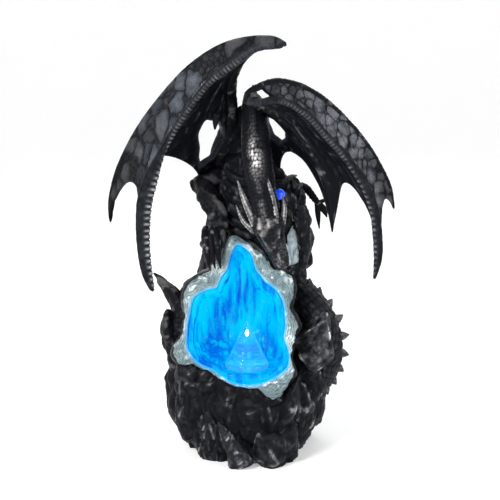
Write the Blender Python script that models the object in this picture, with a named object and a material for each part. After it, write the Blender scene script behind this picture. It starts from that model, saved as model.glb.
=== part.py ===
"""A dragon statue: a cast dragon on a rock plinth, over an open geode lined with clear lit resin.

Frame: +X to the statue's right as seen from the front, -Y to the front, +Z up, in metres.
The origin is the middle of the rock's flat underside.
"""

import math

import bmesh
import bpy
import numpy as np
from mathutils import Vector

# Driving sizes, in metres.
statue_height = 0.285
wing_sheet = 0.0026
fit_gap = 0.0003
rim_depth = 0.006
glow_wall = 0.003
narrowest_rim = 0.0018
geode_depth = 0.044
cone_height = 0.031
cone_radius = 0.0145
gem_radius = 0.0037
crystal_height = 0.026

# The carving's points are given in millimetres on a figure of this height, and scale with the statue.
carved_height = 285.0
carved = statue_height / carved_height

# The casting's skin: its finest step and thinnest tip in carved millimetres, the share of its faces
# that is kept, and its shortest edge in metres.
carving_grain = 1.1
kept_faces = 0.0245
thinnest_tip = 0.8
least_edge = 0.00005

# The geode's mouth: its centre, and how far its plane leans back.
geode_centre = np.array((-7.0, -38.0, 102.0))
geode_lean = math.radians(14.0)

# The cavity's level floor, the lit cone's place on it, and the gem's place on the small geode's ring.
floor_height = 65.5 * carved
cone_place = np.array((-2.0, -30.5)) * carved
gem_place = np.array((19.0, -24.0, 180.0)) * carved

# Corners of the mouth closer than this, in radians, count as one.
least_corner = 0.06

# The broken rim's outer edge and the cavity's edge, across and up in the mouth's plane.
rim_edge = (
    (39, -6), (33, 5), (36, 25), (21, 32), (10, 45), (-5, 54), (-12, 40), (-20, 29), (-34, 21),
    (-37, 12), (-35, 2), (-37, -11), (-44, -24), (-39, -32), (-30, -31), (-20, -38), (-10, -43),
    (2, -47), (13, -47), (21, -57), (30, -49), (37, -37), (33, -27), (35, -16),
)
cavity_edge = (
    (29, -1), (25, 15), (16, 22), (10, 30), (7, 41), (-2, 47), (-5, 40), (-7, 30), (-14, 18), (-29, 12),
    (-31, 2), (-33, -10), (-33, -21), (-27, -29), (-16, -34), (-5, -42), (8, -44), (21, -40), (31, -33),
    (32, -26), (28, -14),
)

casting_colour = (0.035, 0.038, 0.045, 1.0)


def clear_scene():
    """Start from an empty scene."""
    for item in list(bpy.data.objects):
        bpy.data.objects.remove(item, do_unlink=True)


def make_material(name, colour, roughness, metallic=0.0):
    """A Principled BSDF with the part's colour and finish."""
    material = bpy.data.materials.new(name)
    material.use_nodes = True
    shader = material.node_tree.nodes["Principled BSDF"]
    shader.inputs["Base Color"].default_value = colour
    shader.inputs["Roughness"].default_value = roughness
    shader.inputs["Metallic"].default_value = metallic
    material.diffuse_color = colour
    return material


def add_solid(name, vertices, faces):
    """A closed mesh object whose faces point out."""
    mesh = bpy.data.meshes.new(name)
    mesh.from_pydata([tuple(v) for v in vertices], [], [tuple(f) for f in faces])
    shape = bmesh.new()
    shape.from_mesh(mesh)
    bmesh.ops.remove_doubles(shape, verts=shape.verts, dist=0.00002)
    bmesh.ops.recalc_face_normals(shape, faces=shape.faces)
    shape.to_mesh(mesh)
    shape.free()
    item = bpy.data.objects.new(name, mesh)
    bpy.context.scene.collection.objects.link(item)
    return item


def along(points, t):
    """Points at shares t of a smooth curve through the given points, spaced by their distances."""
    points = np.asarray(points, float)
    steps = np.linalg.norm(np.diff(points[:, :3], axis=0), axis=1)
    knots = np.concatenate(([0.0], np.cumsum(steps))) / steps.sum()
    slopes = np.gradient(points, knots, axis=0)
    t = np.clip(np.asarray(t, float), 0.0, 1.0)
    index = np.clip(np.searchsorted(knots, t, side="right") - 1, 0, len(knots) - 2)
    width = (knots[index + 1] - knots[index])[..., None]
    share = ((t - knots[index]) / (knots[index + 1] - knots[index]))[..., None]
    first = (2 * share**3 - 3 * share**2 + 1) * points[index]
    first_slope = (share**3 - 2 * share**2 + share) * width * slopes[index]
    last = (3 * share**2 - 2 * share**3) * points[index + 1]
    last_slope = (share**3 - share**2) * width * slopes[index + 1]
    return first + first_slope + last + last_slope


def unit(vectors):
    """Vectors of length one."""
    return vectors / np.maximum(np.linalg.norm(vectors, axis=-1, keepdims=True), 1e-9)


def loft(name, rings):
    """A closed solid through rings of equally many points, with a flat face over each end."""
    count = len(rings[0])
    vertices = np.concatenate(rings)
    faces = []
    for ring in range(len(rings) - 1):
        for side in range(count):
            here = ring * count + side
            beside = ring * count + (side + 1) % count
            faces.append((here, beside, beside + count, here + count))
    faces.append(tuple(range(count))[::-1])
    faces.append(tuple(range(len(vertices) - count, len(vertices))))
    return add_solid(name, vertices, faces)


def limb(name, points, sides=8, rings=10, across=(1.0, 0.0, 0.0), turn=0.0):
    """A tapering tube. Each point is x, y, z, its half width along `across` and its half thickness."""
    stations = along(points, np.linspace(0, 1, rings))
    middles = stations[:, :3]
    ahead = unit(np.gradient(middles, axis=0))
    wide = np.asarray(across, float) - ahead * (ahead @ np.asarray(across, float))[:, None]
    wide = unit(wide)
    deep = np.cross(ahead, wide)
    angles = np.arange(sides) * 2 * math.pi / sides + turn
    outline = (
        middles[:, None]
        + wide[:, None] * (np.maximum(stations[:, 3], thinnest_tip)[:, None] * np.cos(angles))[..., None]
        + deep[:, None] * (np.maximum(stations[:, 4], thinnest_tip)[:, None] * np.sin(angles))[..., None]
    )
    return loft(name, list(outline * carved))


def spike(name, root, tip, radius, sides=5):
    """A straight thorn from root to a small blunt tip."""
    root = np.asarray(root, float)
    tip = np.asarray(tip, float)
    across = (0.0, 0.0, 1.0) if abs(unit(tip - root)[2]) < 0.8 else (1.0, 0.0, 0.0)
    points = (
        (*root, radius, radius),
        (*(root * 0.4 + tip * 0.6), radius * 0.5, radius * 0.5),
        (*tip, 0.35, 0.35),
    )
    return limb(name, points, sides, 3, across)


def scallop(depth, notch=0.5, power=2.2):
    """How far a membrane reaches down its edges: all the way at both, less by depth at the notch."""

    def reach(w):
        side = np.where(w < notch, (notch - w) / notch, (w - notch) / (1 - notch))
        return 1 - depth * (1 - side**power)

    return reach


def stretch(edge_one, edge_two, reach, bulge, ends=((0, 1), (0, 1))):
    """The skin between two curves, as a function of t along them and w from the first to the second.

    Bulge is how far its middle swells towards -Y, in millimetres, and ends are the shares of each
    curve that it uses.
    """

    def skin(t, w):
        t, w = np.broadcast_arrays(np.asarray(t, float), np.asarray(w, float))
        run = t * reach(w)
        one = along(edge_one, ends[0][0] + run * (ends[0][1] - ends[0][0]))[..., :3]
        two = along(edge_two, ends[1][0] + run * (ends[1][1] - ends[1][0]))[..., :3]
        swell = bulge * 4 * w * (1 - w) * np.sin(math.pi * np.clip(run, 0.05, 1) ** 0.8)
        return (one * (1 - w[..., None]) + two * w[..., None]) - swell[..., None] * np.array((0, 1, 0))

    return skin


def thick_sheet(name, skin, t, w, closed):
    """A sheet of the wing's thickness over a grid of t and w. Closed joins the grid's last row to its first."""
    small = 0.004
    middle = skin(t, w)
    down = skin(np.minimum(t + small, 1), w) - skin(np.maximum(t - small, 0), w)
    over = skin(t, np.minimum(w + small, 1)) - skin(t, np.maximum(w - small, 0))
    out = unit(np.cross(down, over)) * wing_sheet / 2
    rows, columns = t.shape
    vertices = np.concatenate(((middle * carved + out).reshape(-1, 3), (middle * carved - out).reshape(-1, 3)))
    under = rows * columns
    faces = []
    last_row = rows if closed else rows - 1
    for row in range(last_row):
        following = (row + 1) % rows
        for column in range(columns - 1):
            corner = row * columns + column
            across = following * columns + column
            faces.append((corner, corner + 1, across + 1, across))
            faces.append((under + across, under + across + 1, under + corner + 1, under + corner))
        for column in (0, columns - 1):
            corner = row * columns + column
            across = following * columns + column
            faces.append((corner, across, under + across, under + corner))
    if not closed:
        for row in (0, rows - 1):
            for column in range(columns - 1):
                corner = row * columns + column
                faces.append((corner, corner + 1, under + corner + 1, under + corner))
    return add_solid(name, vertices, faces)


def plain_membrane(name, skin, rows=13, columns=6):
    """A membrane with no hole in it."""
    t, w = np.meshgrid(np.linspace(0.03, 1, rows), np.linspace(0, 1, columns), indexing="ij")
    return thick_sheet(name, skin, t, w, False)


def holed_membrane(name, skin, hole, steps=9, rings=4):
    """A membrane around an oval hole. Hole is its t, its w, and its half sizes along t and w."""
    side = np.arange(steps) / steps
    low, high = 0.03, 1.0
    border = np.concatenate((
        np.stack((low + (high - low) * side, side * 0), 1),
        np.stack((high + side * 0, side), 1),
        np.stack((high - (high - low) * side, side * 0 + 1), 1),
        np.stack((low + side * 0, 1 - side), 1),
    ))
    offset = border - np.array(hole[:2])
    angle = np.arctan2(offset[:, 1] / hole[3], offset[:, 0] / hole[2])
    oval = np.array(hole[:2]) + np.stack((hole[2] * np.cos(angle), hole[3] * np.sin(angle)), 1)
    share = np.linspace(0, 1, rings)[None, :, None]
    grid = oval[:, None] * (1 - share) + border[:, None] * share
    return thick_sheet(name, skin, grid[..., 0], grid[..., 1], True)


# The left wing's bones, in carved millimetres: x, y, z, half width, half thickness.
left_lead = (
    (24, -63, 278, 0.8, 0.8), (17, -58, 282, 2.0, 2.2), (8, -52, 282.5, 2.6, 2.8), (-13, -40, 278.5, 3, 3),
    (-35, -26, 265, 3, 3), (-57, -13, 242, 2.8, 2.8), (-77.5, -4, 213, 2.5, 2.5), (-90.5, 0, 184, 2.2, 2.2),
    (-93.5, 0, 169, 1.6, 1.8), (-93, -1, 156, 0.6, 0.8),
)
left_ridge = (
    (20, -61, 278, 1.5, 1.5), (3, -56, 276, 2.6, 2.6), (-10, -53, 267, 3, 3), (-23, -50, 257, 3.2, 3),
    (-41, -45, 234, 3.2, 3), (-56.5, -39, 208, 3.6, 3), (-63, -37, 192, 4.9, 3), (-67, -37, 178, 5.4, 3),
    (-68.3, -39, 162, 4.8, 3), (-67.7, -42, 146, 4.1, 2.8), (-65.3, -45, 131, 3.2, 2.4), (-62, -46, 121, 1.4, 1.4),
)
left_arm = (
    (19, -60, 279, 1.5, 1.5), (4.5, -50, 277, 2.4, 2.6), (-5.5, -40, 268, 3, 3), (-11, -28, 256, 3.4, 3.4),
    (-12.5, -14, 244, 3.8, 3.8), (-12, 0, 228, 4.4, 4.4), (-12, 8, 213, 5.5, 5.5), (-12, 12, 196, 8, 8),
)
left_inner = (
    (19, -60, 279), (4.5, -50, 277), (-5.5, -40, 268), (-11, -28, 256), (-12.5, -14, 244), (-13, 0, 228),
    (-15, 8, 213), (-20, 10, 198), (-33, 6, 183),
)

# The right wing's bones.
right_lead = (
    (-4, -65, 244, 0.8, 0.8), (-1.5, -63, 250, 1.6, 1.6), (5, -58, 253, 2.2, 2.2), (15, -52, 255, 2.8, 2.8),
    (27, -45, 252.5, 3, 3), (40.5, -39, 245.5, 3, 3), (54, -34, 234.5, 2.8, 2.8), (68, -30, 219.5, 2.6, 2.6),
    (80.5, -28, 202, 2.4, 2.4), (89, -29, 185, 2, 2), (92.5, -30, 171.5, 0.7, 0.8),
)
right_ridge = (
    (-2, -64, 248, 1.6, 1.6), (6, -61, 248, 2.2, 2.2), (16, -57, 247, 2.8, 2.8), (32, -51, 238, 3, 3),
    (48, -46, 221, 3, 3), (62, -42, 205, 3.0, 3), (73.5, -39, 187, 3.0, 3), (79.5, -36, 171, 3.1, 3),
    (82, -33, 155, 3.2, 2.8), (83, -30, 139, 2.9, 2.4), (81.3, -27, 124, 1.0, 1.0),
)
right_finger = (
    (0, -61, 248, 1.6, 1.6), (15, -44, 235, 2.2, 2.2), (30, -34, 221, 2.4, 2.4), (42, -29, 204, 2.6, 2.4),
    (49.5, -27, 187, 2.8, 2.4), (52.5, -26, 171, 2.2, 2), (53.5, -25, 155, 0.7, 0.8),
)
right_arm = (
    (0, -60, 248, 1.8, 1.8), (4, -40, 241, 3, 3), (7, -18, 230, 3.6, 3.6), (9, -2, 218, 4.4, 4.4),
    (10, 8, 206, 5.5, 5.5), (9, 12, 194, 8, 8),
)
right_inner = (
    (0, -60, 248), (4, -40, 241), (7, -18, 230), (9, -2, 218), (12, 6, 206), (16, 9, 194), (21, 8, 181),
)


def wings():
    """Both wings: their bones as tubes, with thin membranes between them."""
    yield limb("left_lead_bone", left_lead, 6, 17, (0, 1, 0))
    yield limb("left_ridge_bone", left_ridge, 8, 19, (1, 0, 0))
    yield limb("left_wing_arm", left_arm, 8, 11, (1, 0, 0))
    band = stretch(left_lead, left_ridge, scallop(0.145, 0.5), 1.5, ((0.02, 1), (0.02, 0.76)))
    yield plain_membrane("left_band", band, 15, 6)
    inner = stretch(left_ridge, left_inner, scallop(0.04, 0.5), -1.5, ((0.02, 0.55), (0.02, 1)))
    yield holed_membrane("left_membrane", inner, (0.8, 0.64, 0.14, 0.24))

    yield limb("right_lead_bone", right_lead, 6, 17, (0, 1, 0))
    yield limb("right_ridge_bone", right_ridge, 8, 17, (1, 0, 0))
    yield limb("right_finger_bone", right_finger, 6, 12, (1, 0, 0))
    yield limb("right_wing_arm", right_arm, 8, 9, (1, 0, 0))
    band = stretch(right_lead, right_ridge, scallop(0.12, 0.45), 1.5, ((0.02, 1), (0.02, 0.86)))
    yield plain_membrane("right_band", band, 14, 5)
    outer = stretch(right_ridge, right_finger, scallop(0.3, 0.45), -2.0, ((0.02, 0.86), (0.02, 1)))
    yield plain_membrane("right_membrane", outer, 12, 6)
    inner = stretch(right_finger, right_inner, scallop(0.36, 0.42), -2.0, ((0.02, 1), (0.02, 1)))
    yield holed_membrane("right_shoulder_skin", inner, (0.62, 0.66, 0.14, 0.22))


def neck_and_head():
    """The arching neck, the hanging head with its jaw, and the horns."""
    yield limb("neck", (
        (0, 12, 190, 13, 12), (1, 10, 212, 9, 9), (1, 3, 230, 6.5, 7.5), (2, -13, 236, 6.5, 7.5),
        (3, -27, 228, 8, 8), (4, -37, 212, 9, 8.5), (6, -43, 195, 9, 8.5), (9, -48, 179, 8.5, 8),
        (11, -49, 169, 8, 8),
    ), 10, 15)
    yield limb("skull", (
        (9.5, -48, 177, 6.5, 6.5), (11, -49.5, 168, 9, 7.5), (13, -50, 160, 8.5, 7.5), (16, -50, 152, 6.5, 6),
        (19, -50, 144, 5.2, 4.8), (21.5, -49, 137, 3.4, 3.2),
    ), 8, 9)
    yield limb("jaw", (
        (11, -41, 164, 5, 3.5), (14, -40, 154, 4.5, 3), (17.5, -41, 146, 3.4, 2.4), (19.5, -42, 141, 2, 1.4),
    ), 6, 5)
    horns = (
        ((4, -50, 164), (-3, -47, 180), (-8, -43, 193), 2.4),
        ((16, -53, 167), (13.5, -52, 184), (9.5, -49, 200), 2.4),
        ((19.5, -50, 165), (21.5, -47, 175), (20.5, -43, 183), 2.2),
        ((3, -46, 160), (-4, -42, 166), (-9, -38, 176), 1.8),
        ((8, -54, 162), (5, -53, 174), (1, -50, 184), 1.7),
    )
    for number, (root, middle, tip, radius) in enumerate(horns):
        points = ((*root, radius, radius), (*middle, radius * 0.75, radius * 0.75), (*tip, 0.4, 0.4))
        yield limb("horn_%d" % number, points, 5, 6)
    for side, eye in (("left", (6, -55, 158)), ("right", (18, -55.5, 159))):
        brow_tip = (eye[0] + (-3 if side == "left" else 3), eye[1] + 1, eye[2] + 6)
        yield limb(side + "_brow", (
            (eye[0] + 1.5, eye[1] - 0.5, eye[2] - 5, 1, 1), (*eye, 2.4, 2), (*brow_tip, 1.2, 1.2),
        ), 6, 4)
    yield limb("crest", ((2, 8, 236, 4.5, 4), (2, 3, 243, 3.2, 3), (2, 0, 247, 1.2, 1.2)), 6, 4)
    spines = 7
    for number in range(spines):
        share = 0.42 + 0.4 * number / (spines - 1)
        neck_points = ((1, 3, 230), (2, -13, 236), (3, -27, 228), (4, -37, 212), (6, -43, 195), (9, -48, 179))
        seat = along(neck_points, share)
        out = unit(np.array((0.0, -1.0, 0.75 - share * 0.7)))
        yield spike("neck_spine_%d" % number, seat + out * 5, seat + out * 11.5 + (0, 0, 2.5), 2.0, 4)


def body():
    """The torso, its belly plates, both arms with claws, and the haunches."""
    yield limb("torso", (
        (0, 20, 92, 38, 24), (-1, 16, 120, 34, 24), (-2, 10, 142, 28, 24), (-3, 5, 163, 25, 20),
        (-2, 6, 182, 23, 17), (0, 12, 200, 12, 11),
    ), 14, 9)
    plates = 5
    for number in range(plates):
        height = 157 + 7.5 * number
        yield limb("belly_plate_%d" % number, (
            (-17, -10, height + 4, 1, 2), (-10, -15.5, height, 2.6, 3.4), (-3, -17, height - 1.5, 2.6, 3.8),
            (4, -15.5, height, 2.6, 3.4), (11, -10, height + 4, 1, 2),
        ), 6, 7, (0, 1, 0))
    yield limb("left_shoulder", (
        (-8, 8, 194, 10, 10), (-22, 4, 192, 9, 10), (-32, -1, 187, 7, 8), (-36, -5, 181, 4.5, 5),
    ), 8, 6, (0, 1, 0))
    yield limb("left_forearm", (
        (-34, -2, 188, 4, 4), (-29, -9, 179, 7, 6.5), (-22, -17, 167, 6, 5.5), (-20, -22, 158, 5, 4.5),
        (-23.5, -26, 150, 6.5, 5.5), (-27, -28, 142, 7.2, 5),
    ), 8, 8)
    yield limb("right_shoulder", (
        (6, 8, 190, 9, 10), (14, 6, 186, 8, 9), (21, 6, 178, 7.5, 8), (26, 5, 167, 7, 7.5), (27, 2, 154, 7.5, 8),
        (25, -8, 140, 9, 8),
    ), 8, 8, (0, 1, 0))
    claws = 3
    for number in range(claws):
        start = -31 + 5.2 * number
        yield limb("left_claw_%d" % number, (
            (start, -28, 147, 2.8, 2.6), (start + 1, -34.5, 141, 2.4, 2.4), (start + 2.5, -36.5, 134, 1.9, 1.9),
            (start + 4, -37, 127, 0.6, 0.6),
        ), 5, 6)
    yield limb("right_haunch", (
        (38, 14, 104, 8, 10), (43, 4, 92, 12, 14), (44, -8, 76, 13, 14), (42, -16, 60, 11, 12), (40, -20, 48, 7, 8),
    ), 8, 7)
    yield limb("left_haunch", (
        (-36, 16, 106, 9, 10), (-44, 6, 94, 10, 12), (-48, -2, 82, 9, 11), (-49, -6, 68, 6.5, 9), (-47, -8, 58, 5, 6),
    ), 8, 7)
    yield limb("left_spur", (
        (-66.5, 16, 117, 0.5, 0.5), (-61, 13, 112, 2.4, 2.4), (-54.5, 9, 106, 4.4, 4.2), (-49, 5, 98, 6, 7),
        (-44, 2, 88, 7, 8),
    ), 6, 8)
    yield limb("left_knuckle", ((-56, -4, 97, 2.2, 2.2), (-55, -6, 90, 5, 5), (-53.5, -8, 79, 6.5, 6.5),
                                (-51, -10, 66, 5, 6), (-49, -8, 54, 5, 6)), 8, 7)
    back_spines = 8
    for number in range(back_spines):
        share = number / (back_spines - 1)
        height = 88 + 108 * share
        depth = 42 - 20 * share**2
        yield spike("back_spine_%d" % number, (0, depth - 5, height), (0, depth + 9 - 3 * share, height + 8), 4.0, 4)


# The thick tail coil and the thin tail end: x, y, z, half width, half thickness.
tail_path = (
    (-6, 40, 64, 13, 13), (14, 41, 78, 12.5, 12.5), (26, 28, 97, 11.5, 11.5), (33, 12, 104, 10.5, 10.5),
    (42, -1, 98, 10, 10), (50.5, -8, 85, 9.5, 9.5), (53, -12, 70, 9, 9), (50, -12, 54, 8, 8), (44, -12, 42, 6, 6),
)
tail_end = (
    (16, 26, 148, 6, 6), (18, 18, 163, 5, 5), (23, 12, 174.5, 4, 4), (30, 8, 179, 3.2, 3.2),
    (37, 6, 178, 2.8, 2.8), (43, 3, 172, 2.4, 2.4), (47, 1, 166, 1.8, 1.8),
)


def tail():
    """The thick coil on the right with its thorns, and the thin end with its arrow tip."""
    yield limb("tail_coil", tail_path, 10, 18, (0, 0, 1))
    thorns = 13
    for number in range(thorns):
        share = 0.3 + 0.62 * number / (thorns - 1)
        seat = along(tail_path, share)
        middle = np.array((38.0, -6.0, 76.0))
        out = seat[:3] - middle
        out[1] = out[1] * 0.3
        out = unit(out)
        yield spike("tail_thorn_%d" % number, seat[:3] + out * (seat[3] - 2.5),
                    seat[:3] + out * (seat[3] + 4.0) + (0, 0, 1.0), 2.6, 4)
    yield limb("tail_end", tail_end, 6, 11, (0, 1, 0))
    tip = np.array((47.0, 1.0, 166.0))
    yield limb("arrow_outer", ((*(tip + (-2, 0, 3)), 1.2, 2.4), (*(tip + (2.5, 0, -2)), 1.0, 2.2),
                               (*(tip + (4.5, 0, -7)), 0.3, 0.3)), 6, 4, (0, 1, 0))
    yield limb("arrow_inner", ((*(tip + (-2, 0, 3)), 1.2, 2.2), (*(tip + (-1.5, 0, -6)), 0.9, 1.7),
                               (*(tip + (-0.5, 0, -15)), 0.3, 0.3)), 6, 4, (0, 1, 0))
    yield limb("arrow_barb", ((*(tip + (-3, 0, 2)), 1.0, 1.6), (*(tip + (3, 0, 4.5)), 0.7, 1.2),
                              (*(tip + (5.5, 0, 2.5)), 0.3, 0.3)), 5, 4, (0, 1, 0))


# The small geode's ring: its centre, half width and half height, how far it faces left, and its lean.
ring_centre = np.array((23.5, -12.0, 153.0))
ring_half_width = 12.5
ring_half_height = 29.0
ring_turn = math.radians(25.0)
ring_lean = math.radians(12.0)


def ring_point(angle, outward=1.0):
    """A point on the small geode's ring, an upright oval turned to the front left."""
    flat = np.array((math.cos(ring_turn), -math.sin(ring_turn), 0.0))
    up = np.array((0.0, 0.0, 1.0))
    across = flat * math.cos(ring_lean) + up * math.sin(ring_lean)
    tall = up * math.cos(ring_lean) - flat * math.sin(ring_lean)
    return (ring_centre + across * ring_half_width * outward * math.cos(angle)
            + tall * ring_half_height * outward * math.sin(angle))


def side_ring():
    """The small geode's rough ring, with teeth around its opening."""
    steps = 20
    sides = 6
    rings = []
    for step in range(steps):
        angle = 2 * math.pi * step / steps
        middle = ring_point(angle)
        out = unit(ring_point(angle, 1.2) - middle)
        front = np.array((-math.sin(ring_turn), -math.cos(ring_turn), 0.0))
        size = 5.2 + 1.3 * math.sin(5 * angle) * math.cos(3 * angle)
        rings.append([middle + out * size * math.cos(2 * math.pi * k / sides)
                      + front * size * 1.15 * math.sin(2 * math.pi * k / sides) for k in range(sides)])
    vertices = np.array(rings).reshape(-1, 3) * carved
    faces = []
    for step in range(steps):
        for side in range(sides):
            here = step * sides + side
            beside = step * sides + (side + 1) % sides
            ahead = (step + 1) % steps * sides
            faces.append((here, beside, ahead + (side + 1) % sides, ahead + side))
    yield add_solid("side_ring", vertices, faces)
    for number, angle in enumerate((0.5, 1.2, 1.9, 2.6)):
        yield spike("ring_tooth_%d" % number, ring_point(angle, 0.86), ring_point(angle - 0.15, 0.55), 2.6, 4)
    yield spike("ring_thorn", (23, -6, 184), (31, -8, 189.5), 2.4, 5)


# The rock's core, level by level: height, middle x and y, half width, half depth.
rock_levels = (
    (-3, -3, -2, 41, 38), (8, -3, -2, 45, 41), (26, -3, -2, 53, 45), (44, -2, -1, 56, 46), (60, -1, 3, 53, 42),
    (80, 0, 9, 46, 36), (104, -1, 14, 38, 28), (128, -2, 16, 28, 20),
)


def rock():
    """The plinth's lumpy core, the upright shards around it, and the crust behind the geode."""
    steps = 26
    rings = []
    for level, (height, x, y, half_width, half_depth) in enumerate(rock_levels):
        ring = []
        for step in range(steps):
            angle = 2 * math.pi * step / steps
            swell = 1 + 0.045 * math.sin(3 * angle + 0.7 * level) + 0.035 * math.sin(7 * angle - 0.4 * level)
            ring.append((x + half_width * swell * math.cos(angle), y + half_depth * swell * math.sin(angle), height))
        rings.append(np.array(ring) * carved)
    yield loft("rock_core", rings)
    shards = 17
    for number in range(shards):
        angle = 2 * math.pi * (number + 0.35 * math.sin(2.3 * number)) / shards
        out = np.array((math.cos(angle), math.sin(angle), 0.0))
        front = max(0.0, -math.sin(angle))
        top = 52 + 13 * math.sin(1.9 * number + 1) - 14 * front**2
        size = 12 + 3 * math.sin(3.1 * number)
        foot = out * (37, 34, 0) + (-3, -2, -3)
        knee = out * (48, 39, 0) + (-2, -2, top * 0.55)
        crown = out * (43, 36, 0) + (-1, -1, top)
        across = (-math.sin(angle), math.cos(angle), 0.0)
        yield limb("shard_%d" % number, ((*foot, size, 7), (*knee, size * 0.95, 8), (*crown, size * 0.4, 3.5)),
                   5, 4, across, 0.6 * number)
    tooth = ((-10, -44, -3, 8, 6), (-11, -48, 10, 7, 5.5), (-16, -46, 24, 3.5, 3.5), (-19, -43, 31, 0.6, 0.6))
    yield limb("front_tooth", tooth, 5, 6, (1, 0, 0), 0.3)
    egg = ((-3, -44, 14, 5, 3), (0, -47, 26, 13, 6), (1, -47, 38, 13, 7), (0, -44, 50, 6, 4))
    yield limb("front_boulder", egg, 8, 6)


def outline_radius(edge, angles):
    """Distances from the mouth's centre to an edge through the given points, in those directions."""
    edge = np.asarray(edge, float)
    order = np.argsort(np.arctan2(edge[:, 1], edge[:, 0]))
    edge = edge[order]
    return np.interp(angles, np.arctan2(edge[:, 1], edge[:, 0]), np.hypot(edge[:, 0], edge[:, 1]),
                     period=2 * math.pi)


def mouth_point(angles, radius, depth):
    """Places in metres, at distances in metres from the mouth's centre and behind its plane."""
    across = np.array((1.0, 0.0, 0.0))
    up = np.array((0.0, math.sin(geode_lean), math.cos(geode_lean)))
    back = np.array((0.0, math.cos(geode_lean), -math.sin(geode_lean)))
    return (geode_centre * carved + across * (radius * np.cos(angles))[:, None]
            + up * (radius * np.sin(angles))[:, None] + back * depth)


def mouth_angles():
    """The directions of all the corners of the rim's edge and the cavity's edge."""
    corners = np.array(rim_edge + cavity_edge, float)
    angles = np.sort(np.arctan2(corners[:, 1], corners[:, 0]))
    return angles[np.diff(angles, prepend=angles[-1] - 2 * math.pi) > least_corner]


def cavity_radius(angles):
    """The cavity's edge in metres, kept inside the rim's edge by the rim's narrowest width."""
    inside_rim = outline_radius(rim_edge, angles) * carved - narrowest_rim
    return np.minimum(outline_radius(cavity_edge, angles) * carved, inside_rim)


def bowl_rings(angles, inset, first_depth, rings):
    """The rings of the cavity's bowl, inset from its edge, from first_depth to its far pole."""
    straight = geode_depth * 0.45
    deepest = geode_depth - inset
    result = []
    for step in range(rings):
        turn = math.pi / 2 * step / rings
        shrink = math.cos(turn)
        depth = straight + (deepest - straight) * math.sin(turn)
        radius = (cavity_radius(angles) - inset) * shrink
        result.append(mouth_point(angles, radius, depth))
    start = mouth_point(angles, cavity_radius(angles) - inset, first_depth)
    end = mouth_point(angles, np.full(len(angles), 0.0008), deepest)
    return [start] + result + [end]


def geode_crust():
    """The dark rock that backs the rim and holds the bowl."""
    angles = mouth_angles()
    radius = outline_radius(rim_edge, angles) * carved
    rings = [
        mouth_point(angles, radius - 0.0015, rim_depth + fit_gap),
        mouth_point(angles, radius + 0.001, rim_depth + 0.008),
        mouth_point(angles, radius * 0.97, rim_depth + 0.022),
        mouth_point(angles, radius * 0.7, geode_depth + 0.008),
    ]
    return loft("geode_crust", rings)


def bowl_seat():
    """What the bowl takes out of the rock, with its fitting gap."""
    angles = mouth_angles()
    return loft("bowl_seat", bowl_rings(angles, -fit_gap, -0.002, 6))


def mouth_clearing():
    """The rock in front of the cavity's lower half, cleared so that the cavity is open."""
    angles = mouth_angles()
    radius = cavity_radius(angles) / carved
    rings = []
    for depth, size in ((-0.03, 1.05), (0.004, 1.0)):
        ring = mouth_point(angles, radius * size * carved, depth)
        rings.append(ring - (0, 0, 1) * np.maximum(0, radius * np.sin(angles) + 12)[:, None] * carved)
    return loft("mouth_clearing", rings)


def rim_ring(name, margin):
    """The broken agate ring around the cavity, or with a margin its seat in the rock."""
    angles = mouth_angles()
    outer = outline_radius(rim_edge, angles) * carved
    inner = cavity_radius(angles) + fit_gap
    middle = (inner + outer) / 2
    inner = inner - margin
    outer = outer + margin
    loops = [
        mouth_point(angles, inner, 0.001 - margin),
        mouth_point(angles, middle, -0.0012 - margin),
        mouth_point(angles, outer - 0.0008, 0.0008 - margin),
        mouth_point(angles, outer, rim_depth + margin),
        mouth_point(angles, inner, rim_depth + margin),
    ]
    count = len(angles)
    faces = []
    for loop in range(len(loops)):
        following = (loop + 1) % len(loops)
        for side in range(count):
            beside = (side + 1) % count
            faces.append((loop * count + side, loop * count + beside,
                          following * count + beside, following * count + side))
    return add_solid(name, np.concatenate(loops), faces)


def geode_glow():
    """The clear lit bowl: its outer wall in the rock, its inner wall with a flat floor for the cone."""
    angles = mouth_angles()
    outside = bowl_rings(angles, 0.0, 0.0012, 6)
    inside = bowl_rings(angles, glow_wall, 0.0012, 6)
    for ring in inside:
        ring[:, 2] = np.maximum(ring[:, 2], floor_height)
    rings = outside + inside[::-1]
    count = len(angles)
    rings.append(rings[0])
    faces = []
    vertices = np.concatenate(rings[:-1])
    pole_outside = len(outside) - 1
    total = len(rings) - 1
    for ring in range(total):
        if ring == pole_outside:
            continue
        following = (ring + 1) % total
        for side in range(count):
            beside = (side + 1) % count
            faces.append((ring * count + side, ring * count + beside,
                          following * count + beside, following * count + side))
    faces.append(tuple(range(pole_outside * count, (pole_outside + 1) * count)))
    faces.append(tuple(range((pole_outside + 1) * count, (pole_outside + 2) * count)))
    return add_solid("geode_glow", vertices, faces)


def led_cone():
    """The clear cone on the bowl's floor."""
    sides = 20
    base = np.array((*cone_place, floor_height + fit_gap))
    angles = np.arange(sides) * 2 * math.pi / sides
    rings = []
    for share, size in ((0, 1), (0.12, 0.93), (0.5, 0.5), (0.85, 0.17), (1, 0.03)):
        radius = cone_radius * size
        rings.append(base + np.stack((radius * np.cos(angles), radius * np.sin(angles),
                                      np.full(sides, cone_height * share)), 1))
    return loft("led_cone", rings)


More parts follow.
